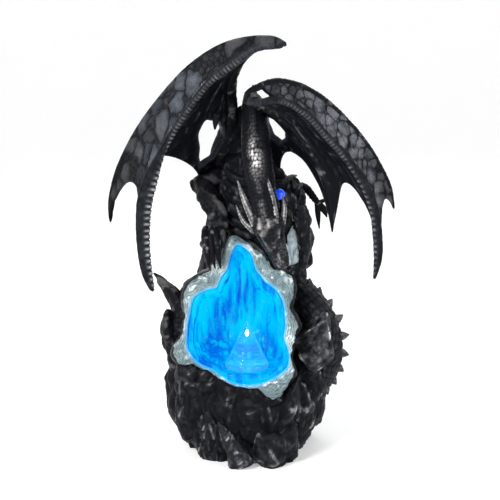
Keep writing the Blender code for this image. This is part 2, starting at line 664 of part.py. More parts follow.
def side_crystal():
    """Six crystal points fused at their roots, standing in the small geode's ring."""
    foot = (30.0, -13.0, 131.0)
    tall = crystal_height / carved
    points = (
        ((0, 0, -1), (-2, -1, tall), 5.5), ((-4, -1, 0), (-8, -2, tall * 0.6), 4), ((3, 1, 0), (5, 0, tall * 0.8), 4.5),
        ((0, -3, 0), (1, -5, tall * 0.45), 3.6), ((5, 1, 1), (9, 2, tall * 0.4), 3),
    )
    crystals = []
    for number, (start, end, radius) in enumerate(points):
        root = np.array(foot) + start
        tip = np.array(foot) + end
        shoulder = root * 0.25 + tip * 0.75
        crystals.append(limb("crystal_%d" % number, (
            (*root, radius * 0.8, radius * 0.8), (*shoulder, radius * 0.75, radius * 0.7), (*tip, 0.4, 0.4),
        ), 6, 4))
    return crystals


def blue_gem():
    """The round gem at the ring's edge."""
    shape = bmesh.new()
    bmesh.ops.create_icosphere(shape, subdivisions=2, radius=gem_radius)
    mesh = bpy.data.meshes.new("blue_gem")
    for vertex in shape.verts:
        vertex.co += Vector(gem_place)
    shape.to_mesh(mesh)
    shape.free()
    item = bpy.data.objects.new("blue_gem", mesh)
    bpy.context.scene.collection.objects.link(item)
    return item


def cut_with(target, cutters, operation):
    """A live EXACT Boolean between the target and a collection of hidden shapes."""
    group = bpy.data.collections.new(target.name + "_" + operation.lower())
    for cutter in cutters:
        group.objects.link(cutter)
        cutter.hide_render = True
        cutter.display_type = "WIRE"
    modifier = target.modifiers.new(operation.title(), "BOOLEAN")
    modifier.operand_type = "COLLECTION"
    modifier.collection = group
    modifier.operation = operation
    modifier.solver = "EXACT"
    modifier.use_self = True


def bake(item):
    """Replace an object's mesh with its evaluated one, and take its modifiers off."""
    graph = bpy.context.evaluated_depsgraph_get()
    mesh = bpy.data.meshes.new_from_object(item.evaluated_get(graph))
    item.modifiers.clear()
    item.data = mesh


def fuse(name, shapes):
    """One solid skin around overlapping shapes, thinned to a share of its faces."""
    joined = bmesh.new()
    for shape in shapes:
        joined.from_mesh(shape.data)
        bpy.data.objects.remove(shape, do_unlink=True)
    mesh = bpy.data.meshes.new(name)
    joined.to_mesh(mesh)
    joined.free()
    item = bpy.data.objects.new(name, mesh)
    bpy.context.scene.collection.objects.link(item)
    skin = item.modifiers.new("Skin", "REMESH")
    skin.mode = "VOXEL"
    skin.voxel_size = carving_grain * carved
    skin.adaptivity = 0.0
    smooth = item.modifiers.new("Smooth", "SMOOTH")
    smooth.factor = 0.5
    smooth.iterations = 1
    thin = item.modifiers.new("Thin", "DECIMATE")
    thin.decimate_type = "COLLAPSE"
    thin.ratio = kept_faces
    thin.use_collapse_triangulate = True
    bake(item)
    keep_outer_skin(item.data)
    return item


def keep_outer_skin(mesh):
    """Keep the largest closed skin: no sealed pockets inside, no slivers that only touch it along an edge."""
    shape = bmesh.new()
    shape.from_mesh(mesh)
    bmesh.ops.dissolve_degenerate(shape, dist=least_edge, edges=shape.edges)
    touching = [edge for edge in shape.edges if len(edge.link_faces) > 2]
    bmesh.ops.split_edges(shape, edges=touching)
    waiting = set(shape.verts)
    skins = []
    while waiting:
        front = [waiting.pop()]
        skin = list(front)
        while front:
            vertex = front.pop()
            for edge in vertex.link_edges:
                other = edge.other_vert(vertex)
                if other in waiting:
                    waiting.remove(other)
                    front.append(other)
                    skin.append(other)
        skins.append(skin)
    skins.sort(key=len)
    for skin in skins[:-1]:
        bmesh.ops.delete(shape, geom=skin, context="VERTS")
    bmesh.ops.remove_doubles(shape, verts=shape.verts, dist=least_edge / 50)
    bare = [edge for edge in shape.edges if not edge.link_faces]
    bmesh.ops.delete(shape, geom=bare, context="EDGES")
    bare = [vertex for vertex in shape.verts if not vertex.link_faces]
    bmesh.ops.delete(shape, geom=bare, context="VERTS")
    open_edges = [edge for edge in shape.edges if len(edge.link_faces) == 1]
    bmesh.ops.holes_fill(shape, edges=open_edges)
    bmesh.ops.triangulate(shape, faces=shape.faces)
    shape.to_mesh(mesh)
    shape.free()


def grown(name, item, margin):
    """A copy of a solid, pushed out along its normals, for cutting its seat."""
    mesh = item.data.copy()
    shape = bmesh.new()
    shape.from_mesh(mesh)
    shape.normal_update()
    for vertex in shape.verts:
        vertex.co += vertex.normal * margin
    shape.to_mesh(mesh)
    shape.free()
    copy = bpy.data.objects.new(name, mesh)
    bpy.context.scene.collection.objects.link(copy)
    return copy


def main():
    clear_scene()
    resin = make_material("black_resin", casting_colour, 0.42)
    agate = make_material("agate_rim", (0.45, 0.58, 0.6, 1), 0.35)
    glow = make_material("lit_resin", (0.02, 0.62, 0.95, 1), 0.1)
    clear = make_material("clear_resin", (0.6, 0.9, 1.0, 1), 0.05)
    crystal = make_material("pale_crystal", (0.55, 0.7, 0.82, 1), 0.15)
    gem = make_material("blue_gem", (0.0, 0.06, 0.9, 1), 0.05)

    casting = fuse("dragon_on_rock", [
        geode_crust(), *rock(), *body(), *neck_and_head(), *tail(), *side_ring(), *wings(),
    ])

    crystals = side_crystal()
    cluster = crystals[0]
    cluster.name = "side_crystal"
    cut_with(cluster, crystals[1:], "UNION")
    bake(cluster)
    bead = blue_gem()

    floor = loft("floor_cutter", [
        np.array(((-0.3, -0.3, z), (0.3, -0.3, z), (0.3, 0.3, z), (-0.3, 0.3, z))) for z in (-0.05, 0.0)
    ])
    seats = [
        floor, bowl_seat(), mouth_clearing(), rim_ring("rim_seat", fit_gap),
        grown("crystal_seat", cluster, fit_gap), grown("gem_seat", bead, fit_gap),
    ]
    cut_with(casting, seats, "DIFFERENCE")
    bake(casting)
    keep_outer_skin(casting.data)

    for item, material in (
        (casting, resin), (rim_ring("geode_rim", 0.0), agate), (geode_glow(), glow), (led_cone(), clear),
        (cluster, crystal), (bead, gem),
    ):
        item.data.materials.clear()
        item.data.materials.append(material)


main()
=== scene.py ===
# Dragon statue on a rock with a lit geode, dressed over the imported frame.
# Sizes in the dictionaries are millimetres; meshes are written in metres.
import itertools
import math

import bpy
import numpy as np
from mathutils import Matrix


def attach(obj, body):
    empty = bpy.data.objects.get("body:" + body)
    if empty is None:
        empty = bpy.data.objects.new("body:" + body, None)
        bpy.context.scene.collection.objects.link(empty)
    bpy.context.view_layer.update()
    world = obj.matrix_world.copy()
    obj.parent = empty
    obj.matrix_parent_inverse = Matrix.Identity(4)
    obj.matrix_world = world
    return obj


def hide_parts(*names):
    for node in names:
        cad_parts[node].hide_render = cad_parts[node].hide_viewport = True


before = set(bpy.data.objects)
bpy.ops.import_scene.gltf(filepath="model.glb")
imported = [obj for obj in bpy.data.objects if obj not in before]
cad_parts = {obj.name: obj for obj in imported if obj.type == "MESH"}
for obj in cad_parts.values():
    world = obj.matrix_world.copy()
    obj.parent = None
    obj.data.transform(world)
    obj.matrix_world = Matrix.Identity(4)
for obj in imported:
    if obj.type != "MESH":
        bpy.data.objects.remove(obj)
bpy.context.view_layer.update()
metresPerMm = 0.001
print("frame loaded")


# Shared shape helpers.

meshFineness = 0.76  # every grid's rows and columns are shares of the counts given at its own call


# A count times the fineness, as the nearest even number.
def gridCount(count):
    return 2 * round(count * meshFineness / 2)


# A unit vector is the vector over its own length.
def unitVectors(vectors):
    return vectors / np.maximum(np.linalg.norm(vectors, axis=-1, keepdims=True), 1e-9)


# Cubic pieces through the points, sloped by central differences and spaced by distance.
def curveAt(points, share):
    points = np.asarray(points, float)
    steps = np.linalg.norm(np.diff(points[:, :3], axis=0), axis=1)
    knots = np.concatenate(([0.0], np.cumsum(steps))) / steps.sum()
    slopes = np.gradient(points, knots, axis=0)
    share = np.clip(np.asarray(share, float), 0.0, 1.0)
    index = np.clip(np.searchsorted(knots, share, side="right") - 1, 0, len(knots) - 2)
    width = (knots[index + 1] - knots[index])[..., None]
    s = ((share - knots[index]) / (knots[index + 1] - knots[index]))[..., None]
    start = (2 * s**3 - 3 * s**2 + 1) * points[index] + (s**3 - 2 * s**2 + s) * width * slopes[index]
    end = (3 * s**2 - 2 * s**3) * points[index + 1] + (s**3 - s**2) * width * slopes[index + 1]
    return start + end


# 0 below low, 1 above high, and 3x^2 - 2x^3 between.
def easeStep(value, low, high):
    x = np.clip((value - low) / (high - low), 0.0, 1.0)
    return x * x * (3 - 2 * x)


# exp(-(x / width)^2), a soft bump of height one.
def softBump(value, middle, width):
    return np.exp(-((value - middle) / width) ** 2)


# One number from 0 to 1 for each whole-number cell.
def cellNumber(cells, seed):
    mixed = (cells[..., 0] * 73856093 ^ cells[..., 1] * 19349663 ^ cells[..., 2] * 83492791
             ^ (seed * 1640531 + 977))
    mixed = (mixed ^ (mixed >> 13)) * 1274126177 & 0x7FFFFFFF
    mixed = (mixed ^ (mixed >> 15)) * 461845907 & 0x7FFFFFFF
    return ((mixed >> 7) & 0xFFFF) / 65535.0


# Numbers at a cell's eight corners, blended by 3x^2 - 2x^3 on each axis, from -1 to 1.
def softNoise(places, seed):
    base = np.floor(places).astype(np.int64)
    part = places - base
    part = part * part * (3 - 2 * part)
    total = 0
    for corner in itertools.product((0, 1), repeat=3):
        step = np.array(corner)
        weight = np.prod(np.where(step == 1, part, 1 - part), axis=-1)
        total = total + weight * cellNumber(base + step, seed)
    return total * 2 - 1


# Noise layers, each twice as fine and half as strong as the one before.
def layeredNoise(places, seed, layers):
    total = 0
    for layer in range(layers):
        total = total + softNoise(places * 2**layer + 11.7 * layer, seed + layer) * 0.5**layer
    return total


# Distances to the nearest and second nearest of points scattered one to a cell, and the nearest's number.
# Around is how many cells close the second axis on itself, or 0.
def scatterCells(places, seed, jitter, around, flat=True):
    base = np.floor(places).astype(np.int64)
    first = np.full(places.shape[:-1], 9.0)
    second = first.copy()
    number = np.zeros(places.shape[:-1])
    for step in itertools.product((-1, 0, 1), (-1, 0, 1), (0,) if flat else (-1, 0, 1)):
        cell = base + np.array(step)
        known = cell.copy()
        if around:
            known[..., 1] = np.mod(known[..., 1], around)
        shift = np.stack([cellNumber(known, seed + axis) for axis in range(3)], -1) - 0.5
        if flat:
            shift[..., 2] = -0.5
            shift[..., :2] *= jitter
        else:
            shift *= jitter
        distance = np.linalg.norm(places - (cell + 0.5 + shift), axis=-1)
        nearer = distance < first
        second = np.where(nearer, first, np.minimum(second, distance))
        number = np.where(nearer, cellNumber(known, seed + 5), number)
        first = np.where(nearer, distance, first)
    return first, second, number


# Evenly spaced angles once round, k * 2 pi / count.
def evenAngles(count):
    return np.arange(count) * 2 * math.pi / count


# The same for a grid's columns.
def fullTurn(count):
    return evenAngles(gridCount(count))


# Three-part places for a flat pattern from two arrays.
def flatPlaces(u, v):
    u, v = np.broadcast_arrays(u, v)
    return np.stack((u, v, np.zeros(u.shape)), -1)


# An oval carried along a smooth curve: middle + wide * cos + deep * sin. Each station is x, y, z, half width
# along across and half thickness. The ends are rounded off over endRound of the length. Square below 1 raises
# the sine and cosine to that power for a boxy section.
def ovalTube(stations, rows, columns, across=(1, 0, 0), endRound=0.02, square=1.0):
    share = np.linspace(0, 1, gridCount(rows))
    at = curveAt(stations, share)
    middle = at[:, :3]
    ahead = unitVectors(np.gradient(middle, axis=0))
    across = np.asarray(across, float)
    wide = unitVectors(across - ahead * (ahead @ across)[:, None])
    deep = np.cross(ahead, wide)
    angle = fullTurn(columns)
    ends = np.clip(np.minimum(1 - share, share) / endRound, 0, 1)
    ends = np.maximum(np.sqrt(1 - (1 - ends) ** 2), 0.06)
    half = np.maximum(at[:, 3:5], 0.25) * ends[:, None]
    cosine = np.sign(np.cos(angle)) * np.abs(np.cos(angle)) ** square
    sine = np.sign(np.sin(angle)) * np.abs(np.sin(angle)) ** square
    radial = (wide[:, None] * (half[:, 0, None] * cosine)[..., None]
              + deep[:, None] * (half[:, 1, None] * sine)[..., None])
    length = np.concatenate(([0], np.cumsum(np.linalg.norm(np.diff(middle, axis=0), axis=1))))
    return {
        "grid": middle[:, None] + radial, "out": unitVectors(radial), "share": share[:, None] + 0 * angle,
        "angle": angle[None] + 0 * share[:, None], "length": length[:, None] + 0 * angle,
        "half": half.mean(1)[:, None] + 0 * angle,
    }


# Mesh building.

# Quads between neighbouring rows, and between columns all the way round. A fan closes a round end at its
# middle; a zip joins the end's front half to its back half.
def gridFaces(rows, columns, wrapRows, cap):
    row, column = np.meshgrid(np.arange(rows if wrapRows else rows - 1), np.arange(columns), indexing="ij")
    nextRow = (row + 1) % rows
    nextColumn = (column + 1) % columns
    quads = np.stack((row * columns + column, row * columns + nextColumn,
                      nextRow * columns + nextColumn, nextRow * columns + column), -1).reshape(-1, 4)
    triangles = np.zeros((0, 3), int)
    last = (rows - 1) * columns
    if cap == "fan":
        k = np.arange(columns)
        following = (k + 1) % columns
        start = np.stack((np.full(columns, rows * columns), following, k), 1)
        end = np.stack((np.full(columns, rows * columns + 1), last + k, last + following), 1)
        triangles = np.concatenate((start, end))
    if cap == "zip":
        k = np.arange(columns // 2)
        far = (columns - k) % columns
        nearFar = columns - k - 1
        corners = np.stack((k + 1, k, far, nearFar), 1)
        corners = np.concatenate((corners, last + corners[:, ::-1]))
        triangles = np.concatenate((corners[:, (0, 1, 2)], corners[:, (0, 2, 3)]))
        flat = ((triangles[:, 0] == triangles[:, 1]) | (triangles[:, 1] == triangles[:, 2])
                | (triangles[:, 2] == triangles[:, 0]))
        triangles = triangles[~flat]
    return quads, triangles


# A part of a piece: its grid in millimetres, how it closes, and its paint values on the same grid.
def gridPart(grid, wrapRows=False, cap="fan", paint=0.0, silver=0.0, tone=0.0):
    rows, columns = grid.shape[:2]
    quads, triangles = gridFaces(rows, columns, wrapRows, cap)
    vertices = grid.reshape(-1, 3)
    values = np.stack([np.broadcast_to(value, (rows, columns)).reshape(-1)
                       for value in (paint, silver, tone)], 1)
    if cap == "fan":
        vertices = np.concatenate((vertices, grid[:1].mean(1), grid[-1:].mean(1)))
        values = np.concatenate((values, values[:columns].mean(0)[None], values[-columns:].mean(0)[None]))
    a, b, c, d = (vertices[quads[:, k]] for k in range(4))
    volume = (np.einsum("ij,ij->i", a, np.cross(b, c)) + np.einsum("ij,ij->i", a, np.cross(c, d))).sum()
    if volume < 0:
        quads = quads[:, ::-1]
        triangles = triangles[:, ::-1]
    return vertices, quads, triangles, values


# Joins the parts in one mesh with its paint, silver and tone attributes, and hangs it on the frame.
def makePiece(name, parts, material, node):
    starts = np.cumsum([0] + [len(part[0]) for part in parts])
    vertices = np.concatenate([part[0] for part in parts]) * metresPerMm
    vertices[:, 2] = np.maximum(vertices[:, 2], 0.0)  # nothing reaches below the underside
    quads = np.concatenate([part[1] + start for part, start in zip(parts, starts)])
    triangles = np.concatenate([part[2] + start for part, start in zip(parts, starts)])
    values = np.concatenate([part[3] for part in parts])
    corners = np.concatenate((quads.ravel(), triangles.ravel())).astype(np.int32)
    faceStarts = np.concatenate((np.arange(len(quads)) * 4, len(quads) * 4 + np.arange(len(triangles)) * 3))
    mesh = bpy.data.meshes.new(name)
    mesh.vertices.add(len(vertices))
    mesh.vertices.foreach_set("co", vertices.astype(np.float32).ravel())
    mesh.loops.add(len(corners))
    mesh.loops.foreach_set("vertex_index", corners)
    mesh.polygons.add(len(faceStarts))
    mesh.polygons.foreach_set("loop_start", faceStarts.astype(np.int32))
    mesh.polygons.foreach_set("use_smooth", np.ones(len(faceStarts), bool))
    mesh.update(calc_edges=True)
    for column, label in enumerate(("paint", "silver", "tone")):
        attribute = mesh.attributes.new(label, "FLOAT", "POINT")
        attribute.data.foreach_set("value", np.clip(values[:, column], 0, 1).astype(np.float32))
    mesh.materials.append(material)
    piece = bpy.data.objects.new(name, mesh)
    bpy.context.scene.collection.objects.link(piece)
    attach(piece, "root")
    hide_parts(node)
    print(name, len(quads) * 2 + len(triangles), "triangles")


# A piece of the black casting.
def makeCasting(name, parts):
    makePiece(name, parts, castingMaterial, "dragon_on_rock")


# Materials.

# A node with its inputs set by number and the rest by name.
def addNode(tree, kind, **values):
    node = tree.nodes.new(kind)
    for key, value in values.items():
        if key.startswith("in_"):
            node.inputs[int(key[3:])].default_value = value
        else:
            setattr(node, key, value)
    return node


# Sets plain values on a shader's sockets.
def setInputs(node, values):
    for label, value in values.items():
        node.inputs[label].default_value = value


# Bumps the shader's normal by a height socket, at a distance in metres.
def addBump(tree, shader, height, strength, distance):
    bump = addNode(tree, "ShaderNodeBump")
    setInputs(bump, {"Strength": strength, "Distance": distance})
    tree.links.new(height, bump.inputs["Height"])
    tree.links.new(bump.outputs[0], shader.inputs["Normal"])


# A material with its tree and its shader.
def newMaterial(name, colour, roughness):
    material = bpy.data.materials.new(name)
    material.use_nodes = True
    tree = material.node_tree
    shader = tree.nodes["Principled BSDF"]
    setInputs(shader, {"Base Color": (*colour, 1), "Roughness": roughness, "Specular IOR Level": 0.4})
    return material, tree, shader


# A colour mix that takes its factor from one socket and its two colours from sockets or values.
def mixColour(tree, factor, first, second):
    mix = addNode(tree, "ShaderNodeMix", data_type="RGBA")
    for socket, value in ((mix.inputs[0], factor), (mix.inputs[6], first), (mix.inputs[7], second)):
        if isinstance(value, bpy.types.NodeSocket):
            tree.links.new(value, socket)
        else:
            socket.default_value = (*value, 1) if isinstance(value, tuple) else value
    return mix.outputs[2]


# One sum, difference or product of sockets or values.
def mathNode(tree, operation, first, second, clamp=False):
    node = addNode(tree, "ShaderNodeMath", operation=operation, use_clamp=clamp)
    for socket, value in ((node.inputs[0], first), (node.inputs[1], second)):
        if isinstance(value, bpy.types.NodeSocket):
            tree.links.new(value, socket)
        else:
            socket.default_value = value
    return node.outputs[0]


# (value - low) / (high - low), carried to the range from toLow to toHigh.
def mapRange(tree, value, low, high, toLow=0.0, toHigh=1.0):
    node = addNode(tree, "ShaderNodeMapRange", in_1=low, in_2=high, in_3=toLow, in_4=toHigh)
    tree.links.new(value, node.inputs[0])
    return node.outputs[0]


# Noise on Object coordinates, in cells a metre, stretched on each axis where stretch is given.
def objectNoise(tree, scale, detail=4.0, roughness=0.6, stretch=None):
    place = addNode(tree, "ShaderNodeTexCoord").outputs["Object"]
    if stretch:
        mapping = addNode(tree, "ShaderNodeMapping")
        mapping.inputs["Scale"].default_value = stretch
        tree.links.new(place, mapping.inputs["Vector"])
        place = mapping.outputs[0]
    noise = addNode(tree, "ShaderNodeTexNoise")
    setInputs(noise, {"Scale": scale, "Detail": detail, "Roughness": roughness})
    tree.links.new(place, noise.inputs["Vector"])
    return noise.outputs[0]


# One of a mesh's own attributes: paint, silver or tone.
def attributeValue(tree, label):
    return addNode(tree, "ShaderNodeAttribute", attribute_name=label).outputs["Fac"]


castingFinish = {
    "dark": (0.0035, 0.0038, 0.0055), "grey": (0.13, 0.137, 0.15), "blue": (0.075, 0.104, 0.148),
    "silver": (0.9, 0.88, 0.88), "specular": 0.06, "roughness": 0.36, "grainScale": 900.0,
    "wearScale": 260.0, "bump": 0.5, "bumpDistance": 0.0004,
}


# Black resin, dry-brushed: paint brings up slate, silver brings up bright metal paint, and tone turns slate
# to blue.
def makeCastingMaterial(values):
    material, tree, shader = newMaterial("blackResin", values["dark"], values["roughness"])
    setInputs(shader, {"Specular IOR Level": values["specular"]})
    grain = objectNoise(tree, values["grainScale"], 5.0)
    wear = objectNoise(tree, values["wearScale"], 5.0, 0.65)
    rubbed = mapRange(tree, wear, 0.36, 0.64, 0.55, 1.25)
    paint = mathNode(tree, "MULTIPLY", attributeValue(tree, "paint"), rubbed, True)
    speckle = mapRange(tree, grain, 0.35, 0.6, 0.5, 1.15)
    paint = mathNode(tree, "MULTIPLY", paint, speckle, True)
    silver = mathNode(tree, "MULTIPLY", attributeValue(tree, "silver"), speckle, True)
    slate = mixColour(tree, attributeValue(tree, "tone"), values["grey"], values["blue"])
    colour = mixColour(tree, paint, values["dark"], slate)
    colour = mixColour(tree, silver, colour, values["silver"])
    tree.links.new(colour, shader.inputs["Base Color"])
    tree.links.new(mathNode(tree, "MULTIPLY", silver, 0.55), shader.inputs["Metallic"])
    tree.links.new(mapRange(tree, grain, 0.3, 0.7, values["roughness"] - 0.08, values["roughness"] + 0.14),
                   shader.inputs["Roughness"])
    addBump(tree, shader, grain, values["bump"], values["bumpDistance"])
    return material


castingMaterial = makeCastingMaterial(castingFinish)
print("casting material made")


# Wings.

wingBones = {  # x, y, z, half width, half thickness
    "leftLead": ((24, -63, 278, 0.9, 0.9), (17, -58, 282, 2.0, 2.2), (8, -52, 282.5, 2.6, 2.8),
                 (-13, -40, 278.5, 3, 3), (-35, -26, 265, 3, 3), (-57, -13, 242, 2.8, 2.8),
                 (-77.5, -4, 213, 2.5, 2.5), (-90.5, 0, 184, 2.2, 2.2), (-93.5, 0, 169, 1.6, 1.8),
                 (-93, -1, 156, 0.6, 0.8)),
    "leftRidge": ((20, -61, 278, 1.5, 1.5), (3, -56, 276, 2.4, 2.4), (-10, -53, 267, 2.8, 2.8),
                  (-23, -50, 257, 2.2, 2.6), (-41, -45, 234, 2.2, 2.6), (-56.5, -39, 208, 2.6, 2.8),
                  (-63, -37, 192, 4.6, 3), (-67, -37, 178, 5.0, 3), (-68.3, -39, 162, 4.6, 3),
                  (-67.7, -42, 146, 4.1, 2.8), (-65.3, -45, 131, 3.2, 2.4), (-62, -46, 121, 1.4, 1.4)),
    "leftArm": ((19, -60, 279, 1.5, 1.5), (4.5, -50, 277, 2.4, 2.6), (-5.5, -40, 268, 3, 3),
                (-11, -28, 256, 3.4, 3.4), (-12.5, -14, 244, 3.8, 3.8), (-12, 0, 228, 4.4, 4.4),
                (-14.5, 8, 213, 7.5, 6), (-17, 12, 196, 10.5, 8), (-16, 13, 180, 10, 9)),
    "leftInner": ((19, -60, 279), (4.5, -50, 277), (-5.5, -40, 268), (-11, -28, 256), (-12.5, -14, 244),
                  (-13, 0, 228), (-15, 8, 213), (-20, 10, 198), (-33, 6, 183)),
    "rightLead": ((-4, -65, 244, 0.9, 0.9), (-1.5, -63, 250, 1.6, 1.6), (5, -58, 253, 2.2, 2.2),
                  (15, -52, 255, 2.8, 2.8), (27, -45, 252.5, 3, 3), (40.5, -39, 245.5, 3, 3),
                  (54, -34, 234.5, 2.8, 2.8), (68, -30, 219.5, 2.6, 2.6), (80.5, -28, 202, 2.4, 2.4),
                  (89, -29, 185, 2, 2), (92.5, -30, 171.5, 0.7, 0.8)),
    "rightRidge": ((-3, -64, 244.5, 1.8, 1.8), (6, -62, 244.5, 2.0, 2.0), (16, -57, 245.5, 2.4, 2.4),
                   (32, -51, 238, 2.6, 2.6), (48, -46, 221, 2.6, 2.6), (62, -42, 205, 2.7, 2.7),
                   (73.5, -39, 187, 2.9, 2.8), (79.5, -36, 171, 3.1, 2.8), (82, -33, 155, 3.2, 2.7),
                   (83, -30, 139, 2.8, 2.4), (81.3, -27, 124, 1.0, 1.0)),
    "rightFinger": ((0, -61, 248, 1.6, 1.6), (15, -44, 235, 2.2, 2.2), (30, -34, 221, 2.4, 2.4),
                    (42, -29, 204, 2.6, 2.4), (49.5, -27, 187, 2.8, 2.4), (52.5, -26, 171, 2.2, 2),
                    (53.5, -25, 155, 0.7, 0.8)),
    "rightArm": ((0, -60, 248, 1.8, 1.8), (4, -40, 241, 3, 3), (7, -18, 230, 3.6, 3.6),
                 (9, -2, 218, 4.4, 4.4), (10, 8, 206, 5.5, 5.5), (9, 12, 194, 8, 8)),
    "rightInner": ((0, -60, 248), (4, -40, 241), (7, -18, 230), (9, -2, 218), (12, 6, 206), (16, 9, 194),
                   (21, 8, 181)),
}

wingValues = {
    "sheetHalf": 1.25, "edgeHalf": 2.6, "edgeWidth": 5.0, "tipRound": 0.012, "holeLip": 1.5,
    "beadSpacing": (2.4, 1.6),  # at the top, and how much more lower down
    "large": (0.04, 0.12), "smallSize": (3.6, 6.5, 3.6),  # a stone's crack, and the small stones between
}


# The skin between two curves: (1 - w) of one and w of the other at shares t of their spans, shortened to
# 1 - depth * (1 - |w from notch|^2.2) for the scallop, and swelled by 4w(1 - w) towards the front.
def wingSkin(bones, depth, notch, bulge, spans):
    one, two = (wingBones[bone] for bone in bones)

    def skin(t, w):
        t, w = np.broadcast_arrays(np.asarray(t, float), np.asarray(w, float))
        side = np.where(w < notch, (notch - w) / notch, (w - notch) / (1 - notch))
        run = t * (1 - depth * (1 - side**2.2))
        first = curveAt(one, spans[0][0] + run * (spans[0][1] - spans[0][0]))[..., :3]
        second = curveAt(two, spans[1][0] + run * (spans[1][1] - spans[1][0]))[..., :3]
        swell = bulge * 4 * w * (1 - w) * np.sin(math.pi * np.clip(run, 0.05, 1) ** 0.8)
        return first * (1 - w[..., None]) + second * w[..., None] - swell[..., None] * np.array((0, 1, 0))

    return skin


# Unit normals of a skin, from its differences along t and w, turned towards the front.
def skinNormals(skin, t, w):
    small = 0.004
    down = skin(np.minimum(t + small, 1), w) - skin(np.maximum(t - small, 0), w)
    over = skin(t, np.minimum(w + small, 1)) - skin(t, np.maximum(w - small, 0))
    normal = unitVectors(np.cross(down, over))
    front = np.sign((normal[..., 1].mean() > 0) * -2.0 + 1)
    return normal * front


# Places on a skin in millimetres: along its middle from the start, and across from its middle.
def skinPlaces(skin, t, w):
    line = np.linspace(0, 1, 60)
    middle = skin(line, 0 * line + 0.5)
    length = np.concatenate(([0], np.cumsum(np.linalg.norm(np.diff(middle, axis=0), axis=1))))
    across = np.linalg.norm(skin(line, 0 * line + 1) - skin(line, 0 * line), axis=-1)
    width = np.interp(t, line, across)
    return np.interp(t, line, length), (w - 0.5) * width, width


# Large round stones with small ones between them: a large stone fills its cell to the given reach of its own
# middle, the rest is a finer pattern, and a crack is where second distance less first is small. The cells
# are deeper than wide, because the bands are seen aslant from the front.
def stonePattern(places, size, seed, share, reach):
    wobble = 0.16 * np.stack([layeredNoise(places / 7, seed + axis, 2) for axis in range(3)], -1)
    cells = np.array((size, 1.9 * size, 1.15 * size))
    first, second, number = scatterCells(places / cells + wobble, seed, 0.55, 0, False)
    small = scatterCells(places / np.array(wingValues["smallSize"]) + wobble, seed + 3, 0.85, 0, False)
    large = (easeStep(second - first, *wingValues["large"]) * easeStep(reach - first, 0.0, 0.06)
             * (number < share))
    apart = (easeStep(first - reach, 0.0, 0.08) + (number >= share)
             + easeStep(0.04 - second + first, 0.0, 0.05))
    fine = easeStep(small[1] - small[0], 0.05, 0.3) * np.clip(apart, 0, 1)
    return large, fine, 1 - np.clip(first / reach, 0, 1) ** 2, number, small[2]


# How far to the front or rear a sheet's loop stands, from 1 to -1: |sin s|^power with the sign of sin s.
def sheetSide(s, power=0.35):
    return np.sign(np.sin(s) + 1e-9)[None] * np.abs(np.sin(s))[None] ** power


# A wing sheet as one closed loop per row: w = (1 - cos s) / 2 runs out on the front and back on the rear,
# and each side stands half a thickness off the skin. The edges thicken to the bones.
def wingSheet(skin, rows, columns, relief, edges=(1, 1)):
    s = fullTurn(columns)
    share = np.linspace(0.0, 1, gridCount(rows))
    t = share[:, None] + 0 * s
    w = (1 - np.cos(s))[None] / 2 + 0 * t
    side = sheetSide(s)
    u, v, width = skinPlaces(skin, t, w)
    normal = skinNormals(skin, t, w)
    fromOne = w * width
    fromTwo = (1 - w) * width
    thin, edgeWidth, tipRound = wingValues["sheetHalf"], wingValues["edgeWidth"], wingValues["tipRound"]
    half = thin + (wingValues["edgeHalf"] - thin) * (
        edges[0] * softBump(fromOne, 0, edgeWidth) + edges[1] * softBump(fromTwo, 0, edgeWidth))
    tip = np.sqrt(1 - np.clip((share - 1 + tipRound) / tipRound, 0, 1) ** 2 * 0.96)[:, None]
    front = easeStep(np.sin(s)[None] + 0 * t, 0.0, 0.12)
    lift, paint, silver, tone = relief(u, v, width, t, w, front, skin(t, w))
    offset = side * (half * tip) + np.sign(side) * lift * np.abs(side) * tip
    grid = skin(t, w) + normal * offset[..., None]
    return gridPart(grid, cap="zip", paint=paint, silver=silver, tone=tone)


# Upper wing band: slate stones, darker and finer towards the tip, with short ribs along the ridge side and a
# plain leading edge.
def bandRelief(size, seed, share, bright, blue, ribWidth, reach):

    def relief(u, v, width, t, w, front, places):
        large, fine, dome, number, fineNumber = stonePattern(places, size, seed, share, reach)
        toRidge = (1 - w) * width
        ripple = 2 * math.pi * u / 2.1 + 1.5 * softNoise(flatPlaces(u / 6, v / 6), 5)
        ribs = easeStep(np.cos(ripple), -0.3, 0.7)
        atRidge = 1 - easeStep(toRidge, ribWidth * 0.7, ribWidth)
        atLead = 1 - easeStep(w * width, 1.2, 2.4)
        darkTip = np.maximum(easeStep(t, 0.62, 0.8) * easeStep(w, 0.75, 0.3), easeStep(t, 0.84, 0.96))
        darkTip = np.maximum(darkTip, 0.85 * easeStep(t, 0.34, 0.18))
        inside = (1 - atRidge) * (1 - atLead)
        lift = (inside * (large * (0.5 + 0.5 * dome) * 0.95 + fine * 0.45 - 0.45)
                + atRidge * (ribs * 0.6 - 0.3))
        lift = lift + 0.12 * layeredNoise(flatPlaces(u / 1.8, v / 1.8), seed + 20, 2)
        cloud = 0.75 + 0.4 * layeredNoise(flatPlaces(u / 3.0, v / 3.0), seed + 30, 3)
        stone = large * (0.55 + 0.45 * dome) * (0.7 + 0.4 * number) * cloud
        stone = stone + fine * (0.12 + 0.3 * fineNumber) * (1 - large)
        paint = bright * (stone * inside + atRidge * ribs * 0.35) * (1 - 0.85 * darkTip)
        silver = (atRidge * ribs * easeStep(fineNumber, 0.2, 0.9) * 0.24 * (1 - darkTip)
                  + 0.05 * large * dome * easeStep(number, 0.3, 0.7))
        tone = blue * large * (0.6 + 0.4 * number)
        return lift, paint * front, silver * front, tone

    return relief


